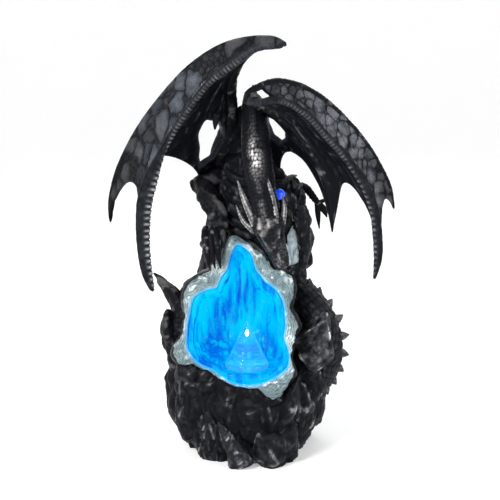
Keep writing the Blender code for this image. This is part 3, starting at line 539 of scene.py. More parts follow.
# Dark wing skin: fine drawn-out wrinkles along the bones and a low grain.
def skinRelief(seed, bright):

    def relief(u, v, width, t, w, front, places):
        wrinkle = layeredNoise(flatPlaces(u / 16, w * 14 + 0.1 * u / 10), seed, 3)
        grain = layeredNoise(flatPlaces(u / 2.6, v / 1.9), seed + 7, 2)
        fan = np.abs(np.sin(w * math.pi * 5 + 1.4 * softNoise(flatPlaces(u / 22, v / 22), seed + 3)))
        lift = 0.35 * wrinkle + 0.16 * grain + 0.35 * (1 - fan) ** 3
        paint = bright * easeStep(wrinkle + 0.55 * grain + 0.7 * (1 - fan) ** 3, 0.25, 1.2)
        return lift, paint, 0.08 * easeStep(grain + wrinkle, 1.0, 1.6), 0.45

    return relief


# A wing sheet round an oval hole, closed both ways: the rows go round the hole and each row's loop runs out
# to the border on the front and back on the rear.
def holedSheet(skin, hole, perSide, columns, relief, taper, slant=0.0):
    perSide = gridCount(perSide)
    side = np.arange(perSide) / perSide
    border = np.concatenate((np.stack((side, side * 0), 1), np.stack((side * 0 + 1, side), 1),
                             np.stack((1 - side, side * 0 + 1), 1), np.stack((side * 0, 1 - side), 1)))
    offset = border - np.array(hole[:2])
    angle = np.arctan2(offset[:, 1] / hole[3], offset[:, 0] / hole[2])
    wave = 1 + 0.06 * np.sin(3 * angle + 1) + 0.04 * np.sin(7 * angle)
    wide = hole[3] * np.sin(angle) * (1 - taper * np.cos(angle)) + slant * np.cos(angle)
    oval = np.array(hole[:2]) + np.stack((hole[2] * np.cos(angle), wide), 1) * wave[:, None]
    s = fullTurn(columns)
    out = ((1 - np.cos(s)) / 2)[None, :, None]
    place = oval[:, None] * (1 - out) + border[:, None] * out
    t, w = place[..., 0], place[..., 1]
    sideSign = sheetSide(s)
    u, v, width = skinPlaces(skin, t, w)
    normal = skinNormals(skin, np.clip(t, 0.01, 0.99), w)
    fromHole = np.linalg.norm(skin(t, w) - skin(oval[:, None, 0] + 0 * t, oval[:, None, 1] + 0 * t), axis=-1)
    half = wingValues["sheetHalf"] + wingValues["holeLip"] * softBump(fromHole, 0, 3.0)
    lift, paint, silver, tone = relief(u, v, width, t, w, 1 + 0 * t, skin(t, w))
    lift = lift * easeStep(fromHole, 0.5, 3)
    grid = skin(t, w) + normal * (sideSign * half + np.sign(sideSign) * np.abs(sideSign) * lift)[..., None]
    paint = np.maximum(paint, 0.3 * softBump(fromHole, 0.8, 1.4))
    return gridPart(grid, wrapRows=True, cap=None, paint=paint, silver=silver, tone=tone)


# A bone with a bead every few millimetres, further apart past the middle: the radius swells by |cos| of the
# length over the spacing, with a silver tick on each bead where it faces out.
def beadedBone(stations, rows, columns, facing, strength, tick, start=0.0):
    tube = ovalTube(stations, rows, columns, endRound=0.015)
    spacing = wingValues["beadSpacing"][0] + wingValues["beadSpacing"][1] * easeStep(tube["share"], 0.4, 0.6)
    beads = np.abs(np.cos(math.pi * np.cumsum(np.gradient(tube["length"], axis=0) / spacing, axis=0)))
    outside = tube["out"] @ unitVectors(np.array(facing, float))
    lower = easeStep(tube["share"], 0.42, 0.56)
    toFront = easeStep(outside, -0.4 + 0.6 * lower, 0.3 + 0.6 * lower)
    groove = easeStep(beads, 0.12, 0.5)
    grow = easeStep(tube["share"], start, start + 0.1)
    noise = layeredNoise(tube["grid"] / 3, 33, 2)
    lift = strength * grow * toFront * (groove - 0.65) + 0.12 * layeredNoise(tube["grid"] / 2.2, 31, 2)
    grid = tube["grid"] + tube["out"] * lift[..., None]
    paint = 0.2 * groove * toFront + 0.06 + 0.08 * noise
    silver = easeStep(outside, -0.2 + 0.86 * lower, 0.4 + 0.54 * lower) * easeStep(beads, 0.7, 0.97)
    silver = silver * easeStep(noise, -0.9, 0.4) * tick * grow * (0.25 + 0.75 * lower)
    return gridPart(grid, paint=paint, silver=silver, tone=0.35)


# A plain bone or limb with wrinkles round it and a little paint on what stands out.
def carvedLimb(stations, rows, columns, across=(1, 0, 0), lift=0.5, paint=0.25, silver=0.05, seed=40,
               grain=3.0, endRound=0.04, ribs=0.0, ribSpacing=3.0, fold=0.0):
    tube = ovalTube(stations, rows, columns, across, endRound)
    noise = layeredNoise(tube["grid"] / grain, seed, 3)
    stretchNoise = layeredNoise(tube["grid"] / (grain * 2.5), seed + 9, 2)
    rings = 0.5 + 0.5 * np.cos(2 * math.pi * tube["length"] / ribSpacing + 2 * stretchNoise)
    folds = np.cos(tube["angle"] * 3 + 2 * stretchNoise + tube["length"] / 12)
    height = lift * noise + ribs * (rings - 0.5) + fold * folds + lift * 0.8 * stretchNoise
    grid = tube["grid"] + tube["out"] * (height * easeStep(tube["half"], 0.2, 2.0))[..., None]
    raised = easeStep(noise + 0.8 * stretchNoise + ribs * (rings - 0.5) + fold * 0.6 * folds, 0.0, 1.3)
    return gridPart(grid, paint=paint * (0.05 + 0.65 * raised),
                    silver=silver * easeStep(raised, 0.4, 1.0) * 2, tone=0.3)


# Each wing is a banded sheet and dark membranes hung between its bones.
def buildWings():
    skin = wingSkin(("leftLead", "leftRidge"), 0.145, 0.5, 1.5, ((0.015, 1), (0.02, 0.76)))
    makeCasting("leftWingBand", [wingSheet(skin, 380, 128, bandRelief(12.5, 3, 0.86, 0.46, 1.0, 2.2, 0.62))])
    makeCasting("leftWingRidge", [beadedBone(wingBones["leftRidge"], 620, 28, (1, -0.35, 0.1), strength=0.6,
                                             start=0.1, tick=0.4)])
    skin = wingSkin(("leftRidge", "leftInner"), 0.04, 0.5, -1.5, ((0.02, 0.55), (0.02, 1)))
    makeCasting("leftWingSkin", [holedSheet(skin, (0.83, 0.655, 0.125, 0.225), 80, 120,
                                            skinRelief(51, 0.17), taper=0.4, slant=0.05)])
    fang = ((-20.5, -36, 234, 2.2, 1.8), (-21.5, -35.5, 229, 2.0, 1.5), (-22.2, -35, 223.5, 0.5, 0.5))
    makeCasting("leftWingFang", [carvedLimb(fang, 30, 20, lift=0.1, paint=0.15, seed=69)])
    makeCasting("leftWingArm", [carvedLimb(wingBones["leftArm"], 160, 36, lift=0.25, paint=0.12, seed=61,
                                           fold=0.15)])

    makeCasting("rightWingLead", [carvedLimb(wingBones["rightLead"], 300, 24, (0, 1, 0), 0.15, 0.25, 0.05,
                                             67, 2.5, 0.02, 0.16, 2.9)])
    skin = wingSkin(("rightLead", "rightRidge"), 0.12, 0.45, 1.5, ((0.12, 1), (0.11, 0.86)))
    makeCasting("rightWingBand", [wingSheet(skin, 330, 96, bandRelief(6.6, 9, 0.96, 1.7, 0.2, 1.6, 0.72))])
    makeCasting("rightWingRidge", [beadedBone(wingBones["rightRidge"], 420, 24, (-1, -0.3, -0.3),
                                              strength=0.3, tick=0.2)])
    skin = wingSkin(("rightRidge", "rightFinger"), 0.3, 0.45, -2.0, ((0.02, 0.86), (0.02, 1)))
    makeCasting("rightWingSkin", [wingSheet(skin, 240, 96, skinRelief(71, 0.17), edges=(0.3, 0.6))])
    skin = wingSkin(("rightFinger", "rightInner"), 0.36, 0.42, -2.0, ((0.02, 1), (0.02, 1)))
    makeCasting("rightShoulderSkin", [holedSheet(skin, (0.66, 0.63, 0.19, 0.23), 60, 100,
                                                 skinRelief(81, 0.17), taper=0.1)])
    makeCasting("rightWingFinger", [carvedLimb(wingBones["rightFinger"], 200, 24, lift=0.3, seed=63)])
    makeCasting("rightWingArm", [carvedLimb(wingBones["rightArm"], 120, 36, lift=0.25, paint=0.12, seed=65,
                                            fold=0.15)])
    print("wings built")


buildWings()

# Geode: rim, lit lining, cone.

geodeValues = {
    "centre": (-7.0, -38.0, 102.0), "lean": 14.0, "depth": 44.0, "wall": 3.0, "floor": 65.5,
    # x, z, width, height and strength of a dark place in the lining
    "deepPlaces": ((-24, 76, 6, 17, 1.1), (-2, 73, 27, 8, 0.95), (12.5, 84, 4, 14, 0.9),
                   (-9, 136, 3, 9, 0.9), (-2, 67, 30, 4, 1.0), (-14, 100, 4, 14, 0.5), (3, 112, 4, 10, 0.4)),
    "conePlace": (-2.0, -30.5), "coneRadius": 14.5, "coneHeight": 31.0, "narrowest": 1.8,
    # across and up from the mouth's centre, in its own plane
    "rimEdge": ((39, -6), (33, 5), (36, 25), (21, 32), (10, 45), (-5, 54), (-12, 40), (-20, 29), (-34, 21),
                (-37, 12), (-35, 2), (-37, -11), (-44, -24), (-39, -32), (-30, -31), (-20, -38), (-10, -43),
                (2, -47), (13, -47), (21, -57), (30, -49), (37, -37), (33, -27), (35, -16)),
    "cavityEdge": ((29, -1), (25, 15), (16, 22), (10, 30), (7, 41), (-2, 47), (-5, 40), (-7, 30), (-14, 18),
                   (-29, 12), (-31, 2), (-33, -10), (-33, -21), (-27, -29), (-16, -34), (-5, -42), (8, -44),
                   (21, -40), (31, -33), (32, -26), (28, -14)),
}


# Distance from the mouth's centre to an edge in each direction, averaged over a few degrees either way.
def edgeRadius(edge, angles, soften=2.2):
    edge = np.asarray(edge, float)
    direction = np.arctan2(edge[:, 1], edge[:, 0])
    order = np.argsort(direction)
    distance = np.hypot(edge[order, 0], edge[order, 1])
    total = 0
    weights = 0
    for step in np.linspace(-2, 2, 9):
        weight = math.exp(-step * step / 2)
        total = total + weight * np.interp(angles + math.radians(soften * step), direction[order], distance,
                                           period=2 * math.pi)
        weights += weight
    return total / weights


# The rim's outer edge in each direction.
def rimRadius(angles):
    return edgeRadius(geodeValues["rimEdge"], angles, 1.6)


# The cavity's edge, kept inside the rim by the narrowest width.
def cavityRadius(angles):
    return np.minimum(edgeRadius(geodeValues["cavityEdge"], angles),
                      rimRadius(angles) - geodeValues["narrowest"])


mouthLean = math.radians(geodeValues["lean"])
mouthUp = np.array((0, math.sin(mouthLean), math.cos(mouthLean)))
mouthBack = np.array((0, math.cos(mouthLean), -math.sin(mouthLean)))


# A place from its direction and distance in the mouth's plane and its depth behind it.
def mouthPlace(angles, radius, depth):
    angles, radius, depth = np.broadcast_arrays(angles, radius, depth)
    return (np.array(geodeValues["centre"]) + (radius * np.cos(angles))[..., None] * np.array((1, 0, 0))
            + (radius * np.sin(angles))[..., None] * mouthUp + depth[..., None] * mouthBack)


# The bowl: straight walls, then a quarter ellipse to the far pole, all inset from the cavity's edge.
def bowlRings(angles, inset, firstDepth, rings):
    straight = geodeValues["depth"] * 0.45
    deepest = geodeValues["depth"] - inset
    walls = rings // 2
    depth = np.linspace(firstDepth, straight, walls, endpoint=False)
    turn = np.linspace(0, math.pi / 2 * 0.985, rings - walls)
    depth = np.concatenate((depth, straight + (deepest - straight) * np.sin(turn)))[:, None]
    shrink = np.concatenate((np.ones(walls), np.cos(turn)))[:, None]
    radius = np.maximum((cavityRadius(angles)[None] - inset) * shrink, 0.5)
    return mouthPlace(angles[None] + 0 * depth, radius, depth + 0 * radius)


# lit is the colour of the painted glow that the lining throws on the rim's inner edge.
agateFinish = {"pale": (0.14, 0.21, 0.225), "teal": (0.02, 0.05, 0.06), "white": (0.8, 0.86, 0.88),
               "lit": (0.02, 0.4, 0.8), "roughness": 0.3, "coat": 0.4, "bump": 0.5, "bumpDistance": 0.0005}


# Agate: the paint bands and a fine noise run through teal, pale and white, with glitter. Tone paints the
# lining's glow on the rim: it turns the colour to lit blue and gives out light.
def makeAgateMaterial(values):
    material, tree, shader = newMaterial("agateRim", values["pale"], values["roughness"])
    band = attributeValue(tree, "paint")
    fine = objectNoise(tree, 420.0, 6.0, 0.7)
    spread = mathNode(tree, "MULTIPLY", mathNode(tree, "SUBTRACT", fine, 0.5), 0.5)
    mixed = mathNode(tree, "ADD", band, spread)
    ramp = addNode(tree, "ShaderNodeValToRGB")
    tree.links.new(mixed, ramp.inputs[0])
    stops = ramp.color_ramp.elements
    stops[0].color = (*values["teal"], 1)
    stops[1].color = (*values["white"], 1)
    middle = stops.new(0.45)
    middle.color = (*values["pale"], 1)
    glitter = objectNoise(tree, 2600.0, 2.0)
    sparkle = mapRange(tree, glitter, 0.62, 0.7)
    sparkle = mathNode(tree, "MULTIPLY", sparkle, attributeValue(tree, "silver"), True)
    colour = mixColour(tree, sparkle, ramp.outputs[0], values["white"])
    # painted glow: where tone is high the colour turns to the lining's lit blue
    litShare = mathNode(tree, "MULTIPLY", attributeValue(tree, "tone"), 0.7)
    colour = mixColour(tree, litShare, colour, values["lit"])
    tree.links.new(colour, shader.inputs["Base Color"])
    # painted glow: the same places give out blue light as emission
    glow = mathNode(tree, "MULTIPLY", attributeValue(tree, "tone"), 0.35)
    tree.links.new(glow, shader.inputs["Emission Strength"])
    setInputs(shader, {"Emission Color": (*values["lit"], 1), "Coat Weight": values["coat"]})
    addBump(tree, shader, fine, values["bump"], values["bumpDistance"])
    return material


# strength is the emission of the lining's painted glow; lampPlace and reach set the painted pool of the
# lamp's light.
glowFinish = {"deep": (0.0, 0.09, 0.72), "cyan": (0.0, 0.66, 1.0), "bright": (0.0, 0.85, 1.0),
              "body": (0.0, 0.05, 0.14), "strength": 0.85, "seeThrough": 0.25, "bend": 1.2, "coat": 0.05,
              "specular": 0.08, "bump": 0.6, "bumpDistance": 0.0008, "streakScale": 260.0,
              "lampPlace": (-0.0018, -0.03, 0.088), "reach": 0.034}


# Streaks drawn out upwards between deep blue and cyan, all given out as emission, a painted glow of the
# lamp's light in the lining, with a painted pool of light near the lamp.
def makeGlowMaterial(values):
    material, tree, shader = newMaterial("litResin", values["body"], 0.12)
    streak = objectNoise(tree, values["streakScale"], 4.0, 0.55, (1.0, 0.6, 0.14))
    wide = objectNoise(tree, 60.0, 2.0, 0.5, (1.0, 1.0, 0.45))
    speck = objectNoise(tree, 800.0, 3.0)
    both = mathNode(tree, "ADD", mathNode(tree, "MULTIPLY", streak, 0.7),
                    mathNode(tree, "MULTIPLY", wide, 0.5))
    share = mapRange(tree, both, 0.47, 0.64)
    place = addNode(tree, "ShaderNodeTexCoord").outputs["Object"]
    away = addNode(tree, "ShaderNodeVectorMath", operation="DISTANCE")
    tree.links.new(place, away.inputs[0])
    away.inputs[1].default_value = values["lampPlace"]
    # painted light: near is a pool of the lamp's light round its place, fading out over reach
    near = mapRange(tree, away.outputs["Value"], values["reach"], 0.004)
    notDeep = mathNode(tree, "SUBTRACT", 1.0, attributeValue(tree, "tone"))
    share = mathNode(tree, "MULTIPLY", share, notDeep, True)
    colour = mixColour(tree, share, values["deep"], values["cyan"])
    specks = mathNode(tree, "MULTIPLY", mapRange(tree, speck, 0.55, 0.75), 0.45)
    colour = mixColour(tree, specks, colour, values["bright"])
    colour = mixColour(tree, mathNode(tree, "MULTIPLY", near, 0.6), colour, values["bright"])
    colour = mixColour(tree, attributeValue(tree, "paint"), colour, values["bright"])
    # the colour is emitted: painted glow of the lamp's light in the lining
    tree.links.new(colour, shader.inputs["Emission Color"])
    setInputs(shader, {"Emission Strength": values["strength"], "Transmission Weight": values["seeThrough"],
                       "IOR": values["bend"], "Coat Weight": values["coat"],
                       "Specular IOR Level": values["specular"]})
    addBump(tree, shader, streak, values["bump"], values["bumpDistance"])
    return material


# strength and emission set the cone's faint painted glow; lamp and lampStrength are the lamp bead's own
# light.
clearFinish = {"colour": (0.3, 0.88, 1.0), "emission": (0.0, 0.6, 1.0), "strength": 0.1, "bend": 1.12,
               "specular": 0.2, "lamp": (0.8, 1.0, 1.0), "lampStrength": 6.0}


# Clear resin with a faint painted glow of the lamp inside it, its emitted colour changing with its clouds.
def makeClearMaterial(values):
    material, tree, shader = newMaterial("clearResin", values["colour"], 0.04)
    # painted glow: a faint emission stands for the lamp's light inside the cone
    setInputs(shader, {"Transmission Weight": 1.0, "IOR": values["bend"],
                       "Specular IOR Level": values["specular"], "Emission Strength": values["strength"]})
    cloud = objectNoise(tree, 240.0, 3.0)
    tree.links.new(mixColour(tree, mapRange(tree, cloud, 0.35, 0.65), values["emission"], values["colour"]),
                   shader.inputs["Emission Color"])
    tree.links.new(mapRange(tree, cloud, 0.3, 0.7, 0.02, 0.1), shader.inputs["Roughness"])
    return material


# The lamp's bright bead.
def makeLampMaterial(values):
    material, tree, shader = newMaterial("lampLight", values["lamp"], 0.3)
    setInputs(shader, {"Emission Strength": values["lampStrength"]})
    cloud = objectNoise(tree, 500.0, 2.0)
    tree.links.new(mixColour(tree, cloud, (0.75, 1.0, 1.0), (0.95, 1.0, 1.0)),
                   shader.inputs["Emission Color"])
    return material


# The rim is a closed band round the mouth, the lining a hollow bowl with pleats of |noise| and rings on its
# floor, and the cone a turned profile with its lamp.
def buildGeode():
    agate = makeAgateMaterial(agateFinish)
    glow = makeGlowMaterial(glowFinish)
    clear = makeClearMaterial(clearFinish)

    angles = fullTurn(460)
    s = fullTurn(72)
    outer = rimRadius(angles)[:, None]
    inner = cavityRadius(angles)[:, None] + 0.3
    across = (1 - np.cos(s))[None] / 2
    side = sheetSide(s, 0.45)
    radius = inner + (outer - inner) * across
    flat = mouthPlace(angles[:, None] + 0 * s, radius, 0 * radius)
    width = outer - inner
    lumps = layeredNoise(flat / 6.0, 101, 3)
    swirl = across * np.clip(width / 1.7, 1.5, 8) + 0.9 * lumps + 0.3 * layeredNoise(flat / 2.5, 105, 2)
    bands = easeStep(np.abs(np.sin(math.pi * swirl)), 0.1, 0.55)
    cloud = layeredNoise(flat / 9.0, 107, 3)
    chips = np.abs(layeredNoise(flat / 4.5, 109, 3))
    front = np.clip(side, 0, 1)
    depth = 3.0 - 3.0 * side - front * (0.7 * lumps + 0.35 * bands + 0.6 * np.sin(math.pi * across))
    radius = (radius + (0.9 * layeredNoise(flat / 3.0, 103, 2) + 1.2 * chips - 0.9) * across
              * easeStep(width, 2.5, 5))
    grid = mouthPlace(angles[:, None] + 0 * s, radius, depth)
    # painted glow: lit is the lining's light painted on the rim, full at the cavity's edge and gone about 3
    # mm out; it goes to the tone attribute
    lit = np.clip(1.1 - across * width / 3.0, 0, 1) ** 2
    paint = -0.05 + 0.4 * bands + 0.25 * (cloud + 0.5) + 0.45 * easeStep(chips, 0.65, 1.0)
    rim = gridPart(grid, wrapRows=True, cap=None, paint=paint, silver=0.5 + 0.5 * lumps, tone=lit)
    makePiece("geodeRim", [rim], agate, "geode_rim")

    angles = fullTurn(320)
    outside = bowlRings(angles, 0.0, 1.2, 30)
    inside = bowlRings(angles, geodeValues["wall"], 1.2, gridCount(110))
    centre = np.array(geodeValues["centre"]) + mouthBack * 14
    inward = unitVectors(centre - inside)
    curtain = layeredNoise(inside * np.array((1 / 3.2, 1 / 3.2, 1 / 24)), 111, 3)
    crystals = layeredNoise(inside / 2.4, 113, 2)
    pleats = np.abs(layeredNoise(inside * np.array((1 / 5.0, 1 / 5.0, 1 / 40)), 115, 2))
    wallLift = 0.9 * np.abs(curtain) + 0.35 * crystals + 2.2 * pleats
    lipFade = easeStep(np.linspace(0, 1, len(inside)), 0.0, 0.146)[:, None]
    inside = inside + inward * (wallLift * lipFade * 0.9)[..., None]
    floorLevel = geodeValues["floor"]
    toCone = np.hypot(inside[..., 0] - geodeValues["conePlace"][0],
                      inside[..., 1] - geodeValues["conePlace"][1])
    rings = 0.12 * np.cos(2 * math.pi * toCone / 2.0)
    inside[..., 2] = np.maximum(inside[..., 2], floorLevel + rings)
    onFloor = easeStep(inside[..., 2], floorLevel + 1.2, floorLevel + 0.4)
    arcs = onFloor * easeStep(np.cos(2 * math.pi * toCone / 2.0), 0.2, 1.0) * 0.45
    deep = 0
    for x, z, wide, tall, depth in geodeValues["deepPlaces"]:
        deep = deep + depth * softBump(inside[..., 0], x, wide) * softBump(inside[..., 2], z, tall)
    deep = np.clip(deep * (0.75 + 0.6 * curtain) + 0.35 * easeStep(curtain, 0.2, 0.8), 0, 1)
    grid = np.concatenate((outside[::-1], inside))
    edge = np.concatenate((0 * outside[..., 0], np.maximum(arcs, 0.5 * easeStep(curtain, 0.5, 0.9))))
    lining = gridPart(grid, paint=edge, tone=np.concatenate((0 * outside[..., 0], deep)))
    makePiece("geodeLining", [lining], glow, "geode_glow")

    rows = np.linspace(0, 1, 60)
    profile = np.interp(rows, (0, 0.03, 0.1, 0.97, 1), (0.97, 1.0, 0.93, 0.05, 0.012))
    profile = profile + 0.006 * np.sin(rows * 90) * (rows > 0.1) * (rows < 0.9)
    angle = evenAngles(64)
    radius = geodeValues["coneRadius"] * profile[:, None] + 0 * angle
    height = floorLevel + 0.3 + geodeValues["coneHeight"] * rows[:, None] + 0 * angle
    grid = np.stack((geodeValues["conePlace"][0] + radius * np.cos(angle),
                     geodeValues["conePlace"][1] + radius * np.sin(angle), height), -1)
    makePiece("ledCone", [gridPart(grid)], clear, "led_cone")

    lamp = ((-2, -30.5, 86, 0.8, 0.8), (-2, -30.5, 88.5, 1.1, 1.1), (-2, -30.5, 91, 0.6, 0.6))
    makePiece("lampBead", [carvedLimb(lamp, 24, 24, (1, 0, 0), 0.05, endRound=0.4)],
              makeLampMaterial(clearFinish), "led_cone")
    print("geode built")


buildGeode()


# Rock.

rockValues = {
    # height, middle x and y, half width, half depth
    "levels": ((-3, -3, -2, 41, 38), (8, -3, -2, 45, 41), (26, -3, -2, 53, 45), (44, -2, -1, 56, 46),
               (60, -1, 3, 54, 43), (80, 0, 9, 47, 37), (104, -1, 14, 39, 29), (128, -2, 16, 29, 21),
               (134, -2, 16, 10, 8)),
    "deepFolds": 7.0, "folds": 3.0, "grain": 0.22,
    # x and height of the lip under the rim
    "lipEdge": ((-55, 64), (-50, 73), (-41, 75), (-34, 69.5), (-26.5, 68), (-19, 63), (-10, 58.3),
                (-1.5, 57), (5, 56.5), (10, 51), (14, 45), (22, 47), (27, 56), (33, 64), (45, 66)),
    # middle, half sizes, seed, planes, sharpness, detail, roughness, brightness
    "boulders": (((4, -41, 42), (21, 13, 17), 272, 9, 8, 1.2, 0.9, 0.5),
                 ((12, -39, 12), (13.5, 11, 19), 274, 12, 10, 1.1, 0.9, 0.7),
                 ((-36, -36, 61), (12, 12, 12.5), 276, 12, 8, 1.1, 0.9, 0.9),
                 ((-41, -22, 38), (9.5, 11, 27), 278, 14, 12, 1.2, 1.1, 0.8),
                 ((-27, -32, 25), (9, 10, 26), 280, 14, 12, 1.2, 1.1, 0.8),
                 ((33, -27, 34), (9, 10, 30), 282, 14, 12, 1.3, 1.1, 1.0),
                 ((42, -16, 42), (9, 11, 24), 284, 14, 12, 1.3, 1.1, 1.0),
                 ((25, -35, 16), (7, 9, 26), 286, 14, 12, 1.1, 1.0, 0.9)),
    # direction and distance of a flat side
    "faceSides": ((-0.15, -1, 0.15, 0.66), (-0.45, -0.1, 0.9, 0.62), (1, -0.1, 0.25, 0.8),
                  (-0.75, -0.2, -0.65, 0.85), (0.5, 0, -0.9, 0.8)),
}


# The crust that carries the rim: the bowl's outside as its hollow, and a lumpy shell round it.
def crustGrid():
    angles = fullTurn(300)
    hollow = bowlRings(angles, -0.3, 6.3, 30)
    radius = rimRadius(angles)[None]
    places, levels = np.linspace(0, 1, 10), np.linspace(0, 1, 44)
    depth = np.interp(levels, places, (6.3, 8, 12, 18, 24, 30, 36, 42, 47, 51))[:, None]
    size = np.interp(levels, places, (0.985, 1.03, 1.05, 1.03, 1.0, 0.93, 0.84, 0.7, 0.5, 0.25))[:, None]
    shell = mouthPlace(angles[None] + 0 * depth, radius * size, depth + 0 * radius)
    return np.concatenate((shell[::-1], hollow))


# How deep behind the mouth's plane the rock must stay: behind the rim, and behind the bowl inside its edge.
def recessed(grid):
    away = grid - np.array(geodeValues["centre"])
    across, up, depth = away[..., 0], away @ mouthUp, away @ mouthBack
    angles = np.arctan2(up, across)
    radius = np.hypot(across, up)
    edge = cavityRadius(angles)
    straight = geodeValues["depth"] * 0.45
    bowl = (straight + (geodeValues["depth"] + 1 - straight)
            * np.sqrt(np.clip(1 - (radius / (edge + 1.2)) ** 2, 0, 1)))
    need = np.where(radius < edge + 1.2, bowl, np.where(radius < rimRadius(angles) + 0.3, 6.5, -99))
    return grid + np.maximum(need - depth, 0)[..., None] * mouthBack


# Upright bulges with sharp creases between them, |noise|^0.75 drawn out in height, in two sizes, with lumps
# and a fine grain over them.
def rockRelief(grid):
    wander = np.stack([softNoise(grid / 26.0, 262 + axis) for axis in range(3)], -1) * 0.35
    large = np.abs(softNoise(grid * np.array((1 / 15.0, 1 / 15.0, 1 / 48.0)) + wander, 242)) ** 0.75
    middle = np.abs(layeredNoise(grid * np.array((1 / 6.5, 1 / 6.5, 1 / 20.0)) + wander, 212, 2)) ** 0.75
    lumps = layeredNoise(grid / 14.0, 222, 2)
    fine = layeredNoise(grid * np.array((1 / 2.0, 1 / 2.0, 1 / 5.0)), 232, 3)
    lift = (rockValues["deepFolds"] * (large - 0.5) + rockValues["folds"] * (middle - 0.5) + lumps
            + rockValues["grain"] * fine)
    raised = easeStep(large, 0.25, 0.8) * easeStep(middle, 0.2, 0.8)
    streak = easeStep(fine + 0.5 * lumps, 0.25, 1.2)
    paint = 0.3 * raised * easeStep(fine, -0.3, 0.9) + 0.1 * streak
    silver = 0.5 * raised * streak**1.5
    return lift, paint, silver


# A chunk of rock: its reach one way is the soft least of its reaches to the planes round it,
# (sum of (cosine to a plane / its distance)^sharp)^(-1/sharp), stretched on each axis. Noise goes over it,
# and paint along the edges, where two planes are nearly equal.
def rockChunk(centre, size, seed, planes=11, sharp=16, detail=1.0, rough=0.5, bright=1.0, sides=()):
    generator = np.random.default_rng(seed)
    normals = unitVectors(generator.normal(size=(planes, 3)))
    reach = generator.uniform(0.7, 1.0, planes)
    if sides:
        chosen = np.array(sides, float)
        keep = (normals @ unitVectors(chosen[:, :3]).T < 0.7).all(1)
        normals = np.concatenate((normals[keep], unitVectors(chosen[:, :3])))
        reach = np.append(reach[keep], chosen[:, 3])
    polar = np.linspace(0.02, math.pi - 0.02, gridCount(70 * detail))[:, None]
    angle = fullTurn(100 * detail)[None]
    direction = np.stack((np.sin(polar) * np.cos(angle), np.sin(polar) * np.sin(angle),
                          np.cos(polar) + 0 * angle), -1)
    facing = np.maximum(direction @ normals.T, 1e-4) / reach
    radius = np.minimum((facing**sharp).sum(-1) ** (-1 / sharp), 1.1)
    grid = np.array(centre) + direction * radius[..., None] * np.array(size)
    nearest = np.sort(facing, -1)
    edge = easeStep(nearest[..., -2] / nearest[..., -1], 0.93, 1.0)
    noise = layeredNoise(grid / 5.0, seed + 1, 3)
    fine = layeredNoise(grid / 1.7, seed + 2, 2)
    grid = grid + direction * (rough * (noise + 0.35 * fine))[..., None]
    mottle = 0.1 * easeStep(noise + 0.6 * fine, -0.9, 0.8) + 0.2 * easeStep(noise + 0.5 * fine, 0.3, 1.2)
    paint = bright * (mottle + 0.3 * edge * easeStep(noise, -0.7, 0.6))
    silver = bright * 0.3 * edge * easeStep(noise + 0.6 * fine, 0.1, 1.0)
    return gridPart(grid, paint=paint, silver=silver, tone=0.1)


# A boxy tube with upright ridges, 1 - 1.6 |noise|, painted where they stand out.
def rockyTube(stations, rows, columns, seed):
    tube = ovalTube(stations, rows, columns, (1, 0, 0), 0.1, square=0.6)
    grid = tube["grid"]
    ridge = 1 - np.abs(layeredNoise(grid * np.array((1 / 5.0, 1 / 5.0, 1 / 16.0)), seed, 3)) * 1.6
    fine = layeredNoise(grid / 2.2, seed + 3, 3)
    lift = 0.5 * (1.1 * (ridge - 0.6) + 0.7 * layeredNoise(grid / 9.0, seed + 5, 2)) + 0.25 * fine
    grid = grid + tube["out"] * (lift * easeStep(tube["half"], 0.3, 2.5))[..., None]
    paint = 0.1 + 0.64 * easeStep(ridge + 0.3 * fine, 0.6, 1.1)
    silver = 0.44 * easeStep(ridge + 0.35 * fine, 0.98, 1.25)
    return gridPart(grid, paint=paint, silver=silver, tone=0.15)


# Brings the front out to the lip: below the lip's edge the surface blends from the rock's own front to the
# mouth's plane, and above it the rock stays behind the rim.
def lippedFront(grid, lift, out):
    x, y, z = (grid[..., k] for k in range(3))
    top = (np.interp(x, *np.array(rockValues["lipEdge"], float).T)
           + 0.8 * layeredNoise(grid * (1 / 4.0, 0, 0), 245, 2))
    below = top - z
    plane = geodeValues["centre"][1] - (geodeValues["centre"][2] - z) * math.tan(mouthLean)
    target = plane - 1.2 + 0.06 * np.clip(below, 0, 60) + 0.2 * np.clip(below - 6, 0, 60)
    near = easeStep(y, -12, -28) * easeStep(below, 34, 8) * easeStep(np.abs(x + 8), 46, 34)
    front = np.where(y > target, y + (target - y) * near, y)
    edge = easeStep(below, 0.5, 8.0)
    lifted = np.stack((x, front, z), -1) + out * ((lift + 1.5 * near) * edge)[..., None]
    return np.where((below > 0)[..., None], lifted, recessed(grid + out * lift[..., None]))


